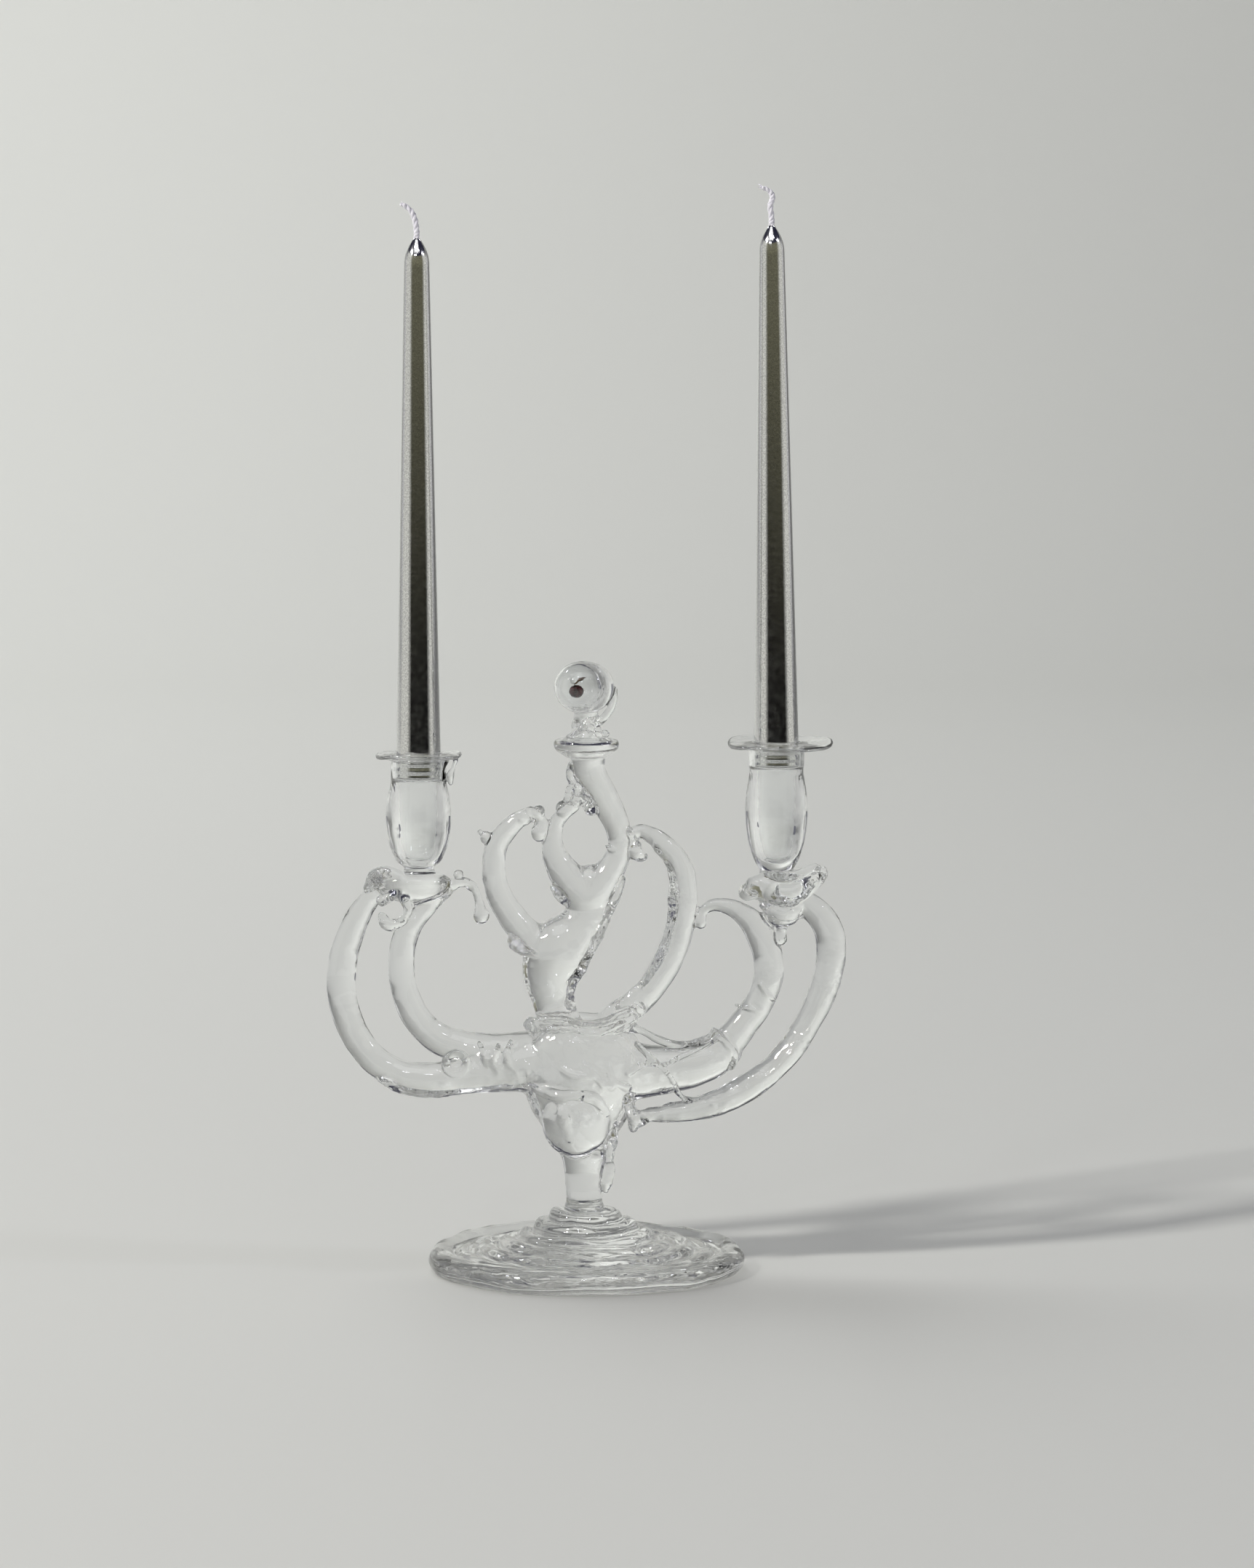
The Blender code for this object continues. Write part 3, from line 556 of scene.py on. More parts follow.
threads += [
    draw_rod("left_saddle_fold", [(-103, -3, 184, 3.2), (-99, -5, 189, 4.6), (-92, -7, 190.6, 3.4),
                                  (-86, -10, 186, 2.6), (-91, -10.5, 181, 2.2), (-97, -9, 178, 2.8)]),
    draw_rod("left_saddle_curl", [(-92, -9, 184, 2.2), (-86, -10.5, 178, 2.2),
                                  (-84.5, -10.5, 172.6, 2.2), (-88.5, -10.5, 168, 2.4),
                                  (-94.5, -9.5, 167.4, 3.4), (-97, -8, 171, 2.0)]),
    drop("left_arm_ball", (-60.5, -3.5, 190.2), (2.4, 2.2, 2.4)),
    drop("left_arm_drop", (-49.8, -3, 170.4), (4.0, 3.6, 4.4)),
    draw_rod("left_low_strand", [(-97, -6, 93, 2.6), (-93, -8, 89.5, 2.0), (-86, -8, 87, 1.7),
                                 (-71.6, -9, 85.8, 1.9), (-55, -9, 87.6, 1.7), (-40, -10, 89.6, 1.8),
                                 (-27, -12, 89.4, 1.6), (-18, -15, 86, 2.0)]),
    draw_rod("left_joint_fold_a", [(-51, -8.5, 110, 1.4), (-47, -10.5, 101, 2.0), (-42, -9, 91, 1.3)]),
    draw_rod("left_joint_fold_b", [(-42, -9, 109, 1.5), (-44, -11.5, 101, 2.2), (-38, -11, 93, 1.4)]),
    draw_rod("left_joint_fold_c", [(-36, -9, 111, 1.3), (-38, -12, 104, 1.8), (-33, -13, 96, 1.3)]),
]
bpy.ops.object.select_all(action="DESELECT")
bpy.ops.mesh.primitive_torus_add(major_radius=5.0 * MM, minor_radius=2.3 * MM,
                                 location=(-61.8 * MM, -10.6 * MM, 100.6 * MM), rotation=(math.pi / 2, 0, 0))
tube_end = bpy.context.active_object
bpy.ops.object.transform_apply(location=True, rotation=True, scale=True)
threads.append(tube_end)
print("so far:", len(body), "big forms and", len(threads), "thin bits")

# %% Right side: the wide root, its two arms, the twisted slab under the cup, and the spout below
body += [
    draw_rod("right_outer_arm", [(95, 0, 180, 5.6), (106, 0, 174.6, 6.4), (114, 0, 165.5, 7.0),
                                 (116.4, 0, 153, 7.1), (113.6, 0, 137, 6.9), (105, 0, 118, 6.4),
                                 (93, -1, 101, 6.2), (76, -3, 88, 6.8), (57, -5, 79.4, 6.2),
                                 (38, -9, 76.4, 4.6), (27, -13, 76, 3.4), (22.6, -15, 75, 2.8)]),
    draw_rod("right_root", [(12, 0, 96, 15), (26, 0, 95.5, 13.5), (40, 0, 96.4, 11.6),
                            (52, 0, 98.8, 10.8), (61, 0, 102, 9.8), (66, 0, 105, 8.4)]),
    draw_rod("right_inner_horn", [(54.4, -2, 166.4, 2.8), (55, -2, 171, 2.3), (58, -2, 174.4, 2.8),
                                  (65, -1, 175, 3.9), (74.6, 0, 170.6, 5.4), (82.6, 0, 161, 6.9),
                                  (86.6, 0, 146, 7.3), (83.4, 0, 131, 7.1), (75, 0, 118.6, 7.4),
                                  (64, 0, 106, 8.4), (50, 0, 98, 9.4)]),
    draw_rod("right_saddle", [(77, 0, 182, 3.4), (84, -1, 182.6, 5.4), (93, -1, 184.6, 6.2),
                              (102, 0, 187.4, 5.8), (109.5, 0, 189, 4.4)], depth=1.9),
    drop("right_frill", (93.2, -2, 172), (9.2, 8.0, 7.0)),
]
threads += [
    draw_rod("right_saddle_twist", [(76, -6, 182, 4.2), (83, -10, 186, 5.2), (91, -11, 181.6, 5.8),
                                    (99, -10.5, 182.0, 5.6), (106, -8, 187.6, 5.2),
                                    (110.5, -3, 190.6, 4.0)]),
    draw_rod("right_saddle_lip", [(78, -8, 187.6, 2.2), (88, -12, 190.4, 2.6), (98, -12, 190.6, 2.2),
                                  (108, -6, 193, 3.0)]),
    draw_rod("right_frill_drop", [(93, -4, 168, 3.2), (92.6, -4, 163.6, 2.2), (92.2, -4, 159.2, 3.0)]),
    draw_rod("right_frill_curl", [(101, -6, 175, 2.2), (96, -9.5, 171, 2.6), (88, -9, 172.6, 2.2),
                                  (84, -6, 176, 2.4)]),
    draw_rod("right_dark_thread", [(24, -12, 110, 1.6), (30, -14, 104.6, 1.7), (36, -14, 99, 1.3),
                                   (41.4, -13, 92, 1.6), (44, -11.5, 86, 1.4), (50, -10, 82.6, 1.8),
                                   (57, -8, 84, 1.3)]),
    draw_rod("right_cross_thread", [(20, -15, 97, 1.6), (28, -15, 101, 1.5), (36, -14, 100.4, 1.2),
                                    (46, -12.4, 104.6, 1.5), (56, -11.5, 108.6, 1.2),
                                    (63, -8, 112.6, 1.6)]),
    draw_rod("right_top_wave", [(20, -6, 118, 2.6), (27, -6, 115.4, 1.8), (35.4, -6, 111, 2.2),
                                (46, -6, 109, 1.7), (55, -6, 110.6, 2.4), (62, -6, 114.6, 2.0)]),
    draw_rod("right_end_ring", [(60.6, -6, 115.6, 1.8), (66, -8, 110.4, 1.8), (70.6, -7, 103.6, 2.0),
                                (69, -5, 98, 1.8)]),
    draw_rod("right_low_thread", [(24, -15.5, 73.6, 3.4), (34.2, -13, 77, 2.0), (51, -10.5, 79.8, 1.6),
                                  (70.3, -9, 85, 2.1), (87.2, -7, 94.6, 1.6), (99.2, -6.4, 106.5, 1.9),
                                  (108.8, -6.4, 120, 1.5), (114.4, -6.6, 134, 1.8)]),
    draw_rod("right_spout", [(20, -11, 84, 3.0), (21.6, -15, 76, 2.8), (22.2, -16.5, 70.6, 2.2)]),
    draw_rod("horn_scratch_a", [(71, -5, 128, 0.9), (76, -7.2, 126.6, 1.1), (83, -6.6, 125.4, 0.8)]),
    draw_rod("horn_scratch_b", [(82.6, -7, 138, 0.9), (86, -7.4, 133, 1.2), (89.6, -5.6, 130, 0.8)]),
]
print("so far:", len(body), "big forms and", len(threads), "thin bits")

# %% Small curls where the front of the hub was pinched
threads += [
    draw_rod("hub_curl_a", [(-15, -15.5, 101, 1.4), (-7, -18, 96.4, 2.0), (4, -18.6, 94.8, 1.5),
                            (12, -17, 90, 2.0)]),
    draw_rod("hub_curl_b", [(-2, -17.5, 102, 1.6), (2.6, -18.4, 97.4, 1.8), (8.6, -18, 91.6, 2.1)]),
    draw_rod("hub_curl_c", [(10, -16, 100, 1.9), (12.6, -17.4, 93.4, 1.5), (19.4, -15.4, 89.4, 2.2)]),
    draw_rod("hub_curl_d", [(22, -11, 92, 2.4), (19.6, -13.4, 97, 1.4), (21, -12.6, 104, 1.6)]),
    draw_rod("hub_lip", [(-28, -8, 108, 2.0), (-18, -13, 91, 1.5), (-13, -16, 84, 2.2)]),
]
print("so far:", len(body), "big forms and", len(threads), "thin bits")

# %% The crown: wrap, trunk, horns, branch and lobe
body += [
    draw_rod("crown_trunk", [(-11, 0, 110, 13), (-14.6, 0, 124, 10.2), (-16.6, 0, 134, 11.2),
                             (-17.2, 0, 143, 13.8), (-13, 0, 153.0, 15.6), (-4.6, 0, 162, 12.6),
                             (1.2, 0, 171, 10.6), (2.2, 0, 180, 10.6), (2.0, 0, 186, 9)], depth=0.78),
    draw_rod("left_horn", [(-22.9, -3, 209.4, 3.6), (-21.0, -3, 214, 3.0), (-24.4, -3, 218.8, 3.4),
                           (-31, -2, 216.6, 4.2), (-37.4, -1, 211, 5.0), (-42.6, 0, 203, 5.4),
                           (-44, 0, 192, 5.8), (-42, 0, 181.4, 6.3), (-36.4, 0, 171, 6.8),
                           (-27, 0, 159.4, 8.2), (-16, 0, 148, 10)]),
    draw_rod("centre_branch", [(0, 0, 176, 9), (6, 0, 184, 8.6), (12, 0, 193, 7.0), (15.6, 0, 202, 6.0),
                               (15.0, 0, 211, 6.0), (12.0, 0, 219, 6.6), (7.4, 0, 227.6, 7.4),
                               (2.8, 0, 235.6, 8.0), (0.8, 0, 241, 8.2),
                               (0.6, 0, 246, 8.6)], rounded=False),
    draw_rod("centre_lobe", [(-1, 0, 178, 9), (-7, 0, 186, 8.6), (-12.6, 0, 193.6, 7.4),
                             (-16.0, 0, 202, 5.6), (-15.4, 0, 211, 4.4), (-11.4, -1, 218.4, 3.6),
                             (-6, -1, 222.6, 3.4)]),
    draw_rod("right_horn", [(23.6, -3, 200.4, 3.8), (21.8, -3, 206, 3.0), (24.0, -3, 210.4, 3.2),
                            (30.4, -2, 209, 4.0), (37.6, -1, 203, 5.2), (44.6, 0, 193, 5.9),
                            (46.8, 0, 180, 6.1), (45.4, 0, 165, 6.1), (41, 0, 151.4, 6.2),
                            (34, 0, 139.6, 6.4), (25, 0, 129.4, 6.8), (12, 0, 120, 7.2)]),
]
threads += [
    draw_rod("crown_wrap", [(-25.4, -6.5, 118.6, 4.2), (-20, -9, 119.6, 3.0), (-11, -10.5, 119, 3.8),
                            (-2, -11, 117.6, 3.4), (8, -10, 118, 4.2), (17, -8, 120.6, 4.8),
                            (24, -5, 126, 4.6)]),
    draw_rod("crown_wrap_back", [(-22, 5, 119, 3.4), (-8, 9.5, 119, 3.6), (8, 9.5, 118.6, 3.8),
                                 (20, 5, 121.6, 4.0)]),
    draw_rod("crown_fold_a", [(-24, -9.6, 121, 1.6), (-14, -13.4, 122.6, 1.3), (-3, -14, 120.6, 1.6),
                              (8, -14, 121.4, 1.3), (19, -12, 125.4, 1.8)]),
    draw_rod("crown_fold_b", [(-19, -12.6, 116.6, 1.2), (-8, -14.4, 117.6, 1.6), (3, -14.4, 115.4, 1.2),
                              (14, -13, 118.6, 1.7), (22, -9.4, 122.6, 1.5)]),
    draw_rod("trunk_side_fold", [(-34.4, -2, 163, 3.0), (-34, -6, 157.4, 3.2),
                                 (-29.4, -9.6, 154.4, 2.6), (-24, -10, 152, 1.6)]),
    drop("left_horn_knot_a", (-29.4, -4.6, 217.4), (4.4, 3.6, 3.8)),
    drop("left_horn_knot_b", (-22.7, -4, 210.0), (3.8, 3.8, 4.6)),
    drop("left_horn_knot_c", (-22.6, -4.4, 220.4), (3.2, 3.2, 3.2)),
    drop("left_horn_seed", (-47.6, -1, 207.4), (3.0, 2.6, 3.4)),
    drop("left_horn_seed_small", (-50.4, -1, 210.2), (1.5, 1.4, 1.5)),
    drop("neck_ball_a", (-10.8, -3.4, 221.4), (4.2, 4.0, 4.4)),
    drop("neck_ball_b", (-4.0, -5, 225.6), (3.6, 3.6, 3.4)),
    drop("neck_ball_c", (2.6, -4, 221.6), (3.9, 3.6, 3.6)),
    draw_rod("neck_fold_a", [(-9, -3, 226, 2.2), (-6.6, -5, 232, 1.6), (-3.2, -7, 229.6, 2.2),
                             (2, -7.4, 226, 1.5)]),
    draw_rod("neck_fold_b", [(-7.4, -3.6, 242, 1.5), (-7.6, -4.6, 236, 1.8), (-3.6, -7.4, 232.4, 1.4)]),
    draw_rod("lobe_root_fold", [(-16, -5, 184, 1.6), (-12, -7.4, 179.4, 2.6), (-8.6, -8, 175.6, 1.4)]),
    drop("right_horn_knot_a", (21.6, -4.0, 209.6), (3.4, 3.2, 3.2)),
    drop("right_horn_knot_b", (23.6, -4.4, 203.6), (3.4, 3.2, 2.6)),
    drop("right_horn_knot_c", (25.6, -4.0, 198.8), (3.6, 3.4, 2.8)),
    draw_rod("right_horn_fold", [(34, -4, 208, 1.4), (33.4, -5.2, 203.6, 1.8),
                                 (37.6, -4.6, 198.4, 1.6)]),
    draw_rod("branch_spur", [(9.6, -3, 203.6, 1.0), (13, -5, 201.8, 1.6), (18.6, -4, 203.6, 1.0)]),
    draw_rod("trunk_trail", [(17.6, -4, 188, 1.4), (14.6, -5, 180, 1.8), (11.4, -6, 173.4, 2.2),
                             (8.4, -6.4, 168, 1.6), (5.4, -7, 161.3, 3.0), (2.8, -7, 154.3, 1.8),
                             (-3.0, -7.4, 144, 2.6), (-6.4, -7.4, 137, 1.7), (-7.2, -8, 128, 2.4)]),
    draw_rod("right_horn_trail", [(37.6, -4, 197, 1.5), (40.8, -4.6, 189, 2.1), (41.0, -5, 174.9, 2.6),
                                  (38.8, -5, 163.3, 2.0), (34.2, -5, 150.4, 2.5), (27.4, -5, 139, 2.2),
                                  (20.6, -5, 131, 2.8), (13.6, -6, 125, 2.4)]),
]
print("so far:", len(body), "big forms and", len(threads), "thin bits")

# %% Where the glass was pinched, and where big forms meet: x, y, z and reach in millimetres
PINCHED = [
    (-24, -8, 119, 13), (-8, -12, 119, 13), (10, -12, 120, 13), (22, -8, 124, 13), (-44, -8, 101, 14),
    (-28, -12, 92, 12), (24, -12, 97, 15), (40, -12, 92, 14), (64, -6, 108, 11), (22, -14, 76, 11),
    (-97, -5, 184, 15), (-88, -9, 172, 12), (93, -8, 172, 15), (108, -6, 190, 9), (79, -6, 184, 9),
    (-26, -4, 216, 10), (-4, -5, 229, 13), (24, -4, 205, 10), (-57, -3, 184, 13), (-32, -6, 156, 9),
    (4, -20, 92, 16), (-8, -20, 78, 13), (11, -5, 55, 14), (40, -12, 80, 12), (62, -10, 83, 12),
    (84, -8, 93, 12), (102, -6, 110, 11), (116, -4, 138, 11), (40, -5, 178, 10), (37, -5, 156, 10),
    (25, -5, 136, 10), (-70, -9, 87, 9), (-94, -8, 89, 9), (9, -6, 168, 10), (0, -7, 148, 9),
    (-7, -8, 131, 9), (86, -5, 140, 9),
]
JOINTS = [
    (-46, 0, 100, 24), (-28, 0, 98, 24), (24, 0, 98, 24), (44, -3, 90, 22), (62, 0, 104, 18),
    (0, 0, 84, 30), (-14, 0, 116, 20), (16, 0, 120, 18), (-24, 0, 158, 18), (-6, 0, 176, 18),
    (8, 0, 186, 14), (-78, 0, 178, 16), (-96, 0, 182, 14), (93, 0, 178, 22), (0, 0, 228, 12),
    (-2, 0, 56, 16),
]

# %% The CAD nodes that the body stands for
BODY_NODES = [
    "stem", "hub", "front_boss", "stem_tear", "side_prunt", "left_outer_arm", "left_inner_arm", "left_arm_drop",
    "left_saddle", "left_saddle_fold", "left_saddle_curl", "right_outer_arm", "right_socket", "right_inner_horn",
    "right_horn_drop", "right_saddle", "right_saddle_frill", "right_saddle_drop", "crown_wrap",
    "crown_wrap_bead", "crown_trunk", "left_horn", "left_horn_seed", "centre_branch", "centre_lobe",
    "centre_lobe_bead", "right_horn", "trunk_trail", "right_horn_trail",
]
print("the body stands for", len(BODY_NODES), "nodes")

# %% Fuse the big forms and let the flame round their joints, then lay the threads on and press the waves in
body_glass = fuse("body_glass", body, voxel=0.9)
flame(body_glass, 30, JOINTS)
body_glass = fuse("body_glass", [body_glass] + threads, voxel=0.85)
press(body_glass, PINCHES, 2.4, PINCHED)
press(body_glass, WAVES, 1.0)
flame(body_glass, 6)
thin_out(body_glass)
bpy.ops.object.shade_smooth()
pinched = body_glass.data.attributes.new("pinched", "FLOAT", "POINT")
pinched.data.foreach_set("value", nearness(body_glass, PINCHED))
finish_piece(body_glass, "candelabra", *BODY_NODES, slot="clear_glass", material=clear_glass)

# %% [markdown]
# ## The foot
# A foot like this is wound: a thick coil makes the rim, and thinner coils are laid inside it and climb to the
# stem. They never quite melt together, so the foot shows soft rings that waver. The outline is a row of arcs,
# one for each coil, over a shallow hollow underneath that keeps the middle off the table.

# %% Wound foot: each coil is (radius to its middle, height, thickness) in millimetres
COILS = [(69.4, 5.6, 6.0), (57.6, 4.8, 5.2), (46.8, 7.8, 5.2), (37.0, 11.2, 4.8), (28.4, 15.4, 4.4),
         (20.6, 20.4, 4.0), (13.6, 25.6, 3.2)]
outline = [(0, 1.4), (50, 1.3), (60, 0.4), (64, 0), (70.4, 0)]
for coil, (middle, height, thick) in enumerate(COILS):
    start, stop = (-80, 138) if coil == 0 else (34, 136)
    for turn in range(start, stop, 12):
        angle = math.radians(turn)
        outline.append((middle + thick * math.cos(angle), height + thick * math.sin(angle)))
outline += [(10.2, 29.0), (6, 29.4), (0, 29.4)]
foot_glass = lathe("foot_glass", outline, steps=160)
select_only(foot_glass)
press(foot_glass, cloud("wavering_coils", 26), 5.0, [(0, 0, 6, 130)])
press(foot_glass, cloud("coil_streaks", 11), 0.9, [(0, 0, 14, 120)])
# The table stops the soft glass, so nothing hangs below it.
for vert in foot_glass.data.vertices:
    vert.co.z = max(vert.co.z, 0.0)
flame(foot_glass, 3)
bpy.ops.object.shade_smooth()
finish_piece(foot_glass, "candelabra", "foot", slot="clear_glass", material=foot_clear_glass)

# %% [markdown]
# ## The cups
# Each cup is a blown bulb with a thick wall. The candle stands on the shoulder inside its mouth, and the hollow
# below the shoulder stays empty. The flange is a thin pan pressed on the neck, which catches wax.

# %% Where the candles stand, in millimetres, and how far each leans for each unit of height
LEFT_X, LEFT_SEAT, LEFT_LEAN = -79.6, 235.3, 0.0
RIGHT_X, RIGHT_SEAT, RIGHT_LEAN = 90.2, 241.2, -0.0118
print("candle spacing, mm:", round(RIGHT_X - LEFT_X, 1))


# %% Cup and flange outlines
def make_cup(name, x, z, seat, top, swell, foot_radius, pan_centre, pan_radius, pan_bottom, pan_thick, tilt):
    rise = seat - z
    outer = smooth_line([
        (foot_radius, z - 0.6), (foot_radius - 1.0, z + 2.2), (0.70 * swell, z + 0.13 * rise),
        (0.91 * swell, z + 0.32 * rise), (swell, z + 0.56 * rise), (0.95 * swell, z + 0.78 * rise),
        (0.86 * swell, z + 0.95 * rise), (13.2, seat + 2), (13.2, top)], 5)
    inner = smooth_line([
        (9.5, seat - 0.4), (9.0, z + 0.86 * rise), (8.8, z + 0.62 * rise), (8.0, z + 0.36 * rise),
        (6.2, z + 0.20 * rise), (3.0, z + 0.145 * rise), (0, z + 0.135 * rise)], 5)
    cup = lathe(name, [(0, z - 0.6)] + outer + [(11.4, top), (11.4, seat - 0.4)] + inner, centre=(x, 0))
    half = pan_thick / 2
    pan = lathe(name + "_pan", smooth_line([
        (11.4, pan_bottom), (15, pan_bottom + 0.3), (pan_radius - 3, pan_bottom + half * 0.7),
        (pan_radius - 0.6, pan_bottom + half * 0.8), (pan_radius, pan_bottom + half * 1.5),
        (pan_radius - 1.2, pan_bottom + half * 2.0), (15, pan_bottom + half * 1.7),
        (11.4, pan_bottom + pan_thick)], 4),
        centre=(x, 0), closed=True)
    for vert in pan.data.vertices:
        out = Vector((vert.co.x - x * MM, vert.co.y))
        edge = max(0.0, (out.length / MM - 13) / (pan_radius - 13))
        angle = math.atan2(out.y, out.x)
        wave = 0.45 * MM * math.sin(3 * angle + 0.8)
        ripple = 0.3 * MM * math.sin(5 * angle)
        vert.co.x += edge * (pan_centre - x) * MM
        vert.co.z += edge * (tilt * out.y + wave + ripple)
    return [cup, pan]


# %% Left cup: a level pan with a drip run down at its right
left_cup = make_cup("left_cup_glass", LEFT_X, 190.9, LEFT_SEAT, top=245.2, swell=15.6, foot_radius=8.2,
                    pan_centre=-79.5, pan_radius=20.5, pan_bottom=244.6, pan_thick=3.0, tilt=0.0)
left_cup += [
    draw_rod("left_drip", [(-63.4, 2, 246.4, 1.4), (-62.0, 0, 245, 1.4), (-63.0, -2, 241, 1.0),
                           (-64.4, -3, 237, 1.8), (-64.2, -3, 233.8, 1.2)]),
    draw_rod("left_neck_fold", [(-66, -2, 244, 1.1), (-68, -5, 240, 1.2), (-67, -6, 236, 0.9)]),
]
left_cup_glass = fuse("left_cup_glass", left_cup, voxel=0.55)
press(left_cup_glass, WAVES, 0.35)
flame(left_cup_glass, 5)
thin_out(left_cup_glass)
bpy.ops.object.shade_smooth()
finish_piece(left_cup_glass, "candelabra", "left_cup", "left_flange", "left_flange_drip",
             slot="clear_glass", material=clear_glass)

# %% Right cup: a wider pan, tipped toward the front
right_cup = make_cup("right_cup_glass", RIGHT_X, 189.6, RIGHT_SEAT, top=251.4, swell=14.9, foot_radius=8.8,
                     pan_centre=92.0, pan_radius=25.0, pan_bottom=250.4, pan_thick=2.9, tilt=0.08)
right_cup_glass = fuse("right_cup_glass", right_cup, voxel=0.55)
press(right_cup_glass, WAVES, 0.35)
flame(right_cup_glass, 5)
thin_out(right_cup_glass)
bpy.ops.object.shade_smooth()
finish_piece(right_cup_glass, "candelabra", "right_cup", "right_flange", slot="clear_glass",
             material=clear_glass)

# %% [markdown]
# ## The finial
# A crisp turned disc sits on the neck. Above it a few rods are twisted into a knot that carries a clear ball,
# and a bubble inside the ball holds a small charm. The bubble is a skin that faces inwards: light leaves the
# glass through it and enters again on its far side.

# %% Disc, knot and ball
finial = [
    lathe("neck_disc", smooth_line([(0, 245.6), (8.6, 245.6), (10.6, 246.4), (14.4, 249), (15.5, 251.6),
                                    (14.8, 253.8), (12.0, 254.9), (9.6, 255.4), (0, 256)], 4)),
    lathe("knot_core", smooth_line([(0, 253), (8.6, 254), (7.6, 257.4), (5.6, 260), (4.6, 263),
                                    (5.6, 267), (0, 270)], 4)),
    drop("finial_ball", (-1, 0, 278.9), (14.4, 14.2, 12.6), 24),
]
for strand in range(4):
    start = math.tau * strand / 4 + 0.4
    stations = []
    for i in range(7):
        t = i / 6
        reach = 8.2 - 6.4 * t * (1.4 - 0.7 * t)
        angle = start + 2.3 * t
        stations.append((reach * math.cos(angle), reach * math.sin(angle), 255 + 13.5 * t,
                         2.2 - 0.3 * math.sin(5 * t)))
    finial.append(draw_rod("knot_strand", stations))
finial += [
    draw_rod("ball_swirl", [(5, -5, 262, 2.2), (9.4, -5, 266, 2.0), (12.6, -3, 271.4, 1.8),
                            (13.6, -1, 278, 1.3)]),
    drop("knot_seed_a", (5.2, -6.4, 257.6), (2.6, 2.4, 2.4)),
    drop("knot_seed_b", (9.0, -3.0, 257.0), (2.2, 2.2, 2.0)),
    drop("knot_seed_c", (2.0, -7.6, 260.6), (2.0, 1.8, 2.2)),
]
finial_glass = fuse("finial_glass", finial, voxel=0.45)
press(finial_glass, PINCHES, 0.9, [(4, -4, 259, 10)])
flame(finial_glass, 4)
thin_out(finial_glass)
bpy.ops.object.shade_smooth()
bubble = drop("charm_bubble", (-3.2, 0, 279.2), (10.6, 10.6, 9.9), 24)
select_only(bubble)
bpy.ops.object.mode_set(mode="EDIT")
bpy.ops.mesh.select_all(action="SELECT")
bpy.ops.mesh.flip_normals()
bpy.ops.object.mode_set(mode="OBJECT")
bpy.ops.object.shade_smooth()
bubble.data.materials.append(clear_glass)
select_only(finial_glass, bubble)
bpy.ops.object.join()
finish_piece(finial_glass, "candelabra", "neck_disc", "finial_strands", "finial_ball", slot="clear_glass",
             material=clear_glass)

# %% [markdown]
# ## The tapers
# The candles are dipped tapers with a silver lacquer. Lacquer on wax is a mirror, but a soft one, with an
# orange peel about two millimetres across, and its flakes of metal are not all as bright. The lowest twelve
# millimetres are grooved, so that they grip in the cup.

# %% Silver lacquer. The flakes are drawn 0.7 mm wide, because real ones are too fine to show
PEEL_STEP, FLAKE_STEP = 2.2 * MM, 0.7 * MM

silver = bpy.data.materials.new("silver_lacquer_on_wax")
silver.use_nodes = True
tree = silver.node_tree
shader = tree.nodes["Principled BSDF"]
shader.inputs["Metallic"].default_value = 1.0
place = add_node(tree, "ShaderNodeTexCoord")
peel = add_node(tree, "ShaderNodeTexNoise", inputs={"Scale": 1 / PEEL_STEP, "Detail": 3.0},
                links={"Vector": place.outputs["Object"]})
flakes = add_node(tree, "ShaderNodeTexNoise", inputs={"Scale": 1 / FLAKE_STEP, "Detail": 2.0},
                  links={"Vector": place.outputs["Object"]})
rough = add_node(tree, "ShaderNodeMapRange", links={"Value": peel.outputs["Fac"]},
                 inputs={"From Min": 0.3, "From Max": 0.7, "To Min": 0.10, "To Max": 0.16})
tint = add_node(tree, "ShaderNodeValToRGB", links={"Fac": flakes.outputs["Fac"]})
tint.color_ramp.elements[0].position, tint.color_ramp.elements[0].color = 0.35, linear("#C8C8C8")
tint.color_ramp.elements[1].position, tint.color_ramp.elements[1].color = 0.75, linear("#EAEAE8")
bump = add_node(tree, "ShaderNodeBump", inputs={"Strength": 0.12, "Distance": 0.2 * MM},
                links={"Height": peel.outputs["Fac"]})
for socket, node in (("Base Color", tint.outputs["Color"]), ("Roughness", rough.outputs["Result"]),
                     ("Normal", bump.outputs["Normal"])):
    tree.links.new(node, shader.inputs[socket])
print("candles:", silver.name)

# %% Dipped tapers: a rounded tip, a straight cone below its shoulder, and three grooves at the base
TAPER_LENGTH, SHOULDER, SHOULDER_RADIUS, BASE_RADIUS = 256, 240, 6.05, 10.6


def make_taper(name, base_x, seat, lean):
    line = [(0, TAPER_LENGTH)]
    line += smooth_line([(0.9, 255.7), (2.0, 254.4), (3.3, 252.3), (4.6, 249.7), (5.5, 247.0), (5.95, 244),
                         (SHOULDER_RADIUS, SHOULDER)], 5)
    line += [(SHOULDER_RADIUS + (BASE_RADIUS - SHOULDER_RADIUS) * (SHOULDER - z) / (SHOULDER - 12), z)
             for z in range(220, 14, -20)]
    for ring in range(3):
        z = 12.4 - 3.6 * ring
        line += [(10.65, z), (BASE_RADIUS, z - 1.9), (10.3, z - 2.4), (10.3, z - 3.0)]
    line += smooth_line([(BASE_RADIUS, 1.4), (10.2, 0.5), (9.2, 0), (0, 0)], 4)
    taper = lathe(name, line, steps=96)
    for vert in taper.data.vertices:
        vert.co.x += lean * vert.co.z + base_x * MM
        vert.co.z += seat * MM
    select_only(taper)
    bpy.ops.object.mode_set(mode="EDIT")
    bpy.ops.mesh.select_all(action="SELECT")
    bpy.ops.mesh.normals_make_consistent(inside=False)
    bpy.ops.object.mode_set(mode="OBJECT")
    bpy.ops.object.shade_smooth()
    return taper


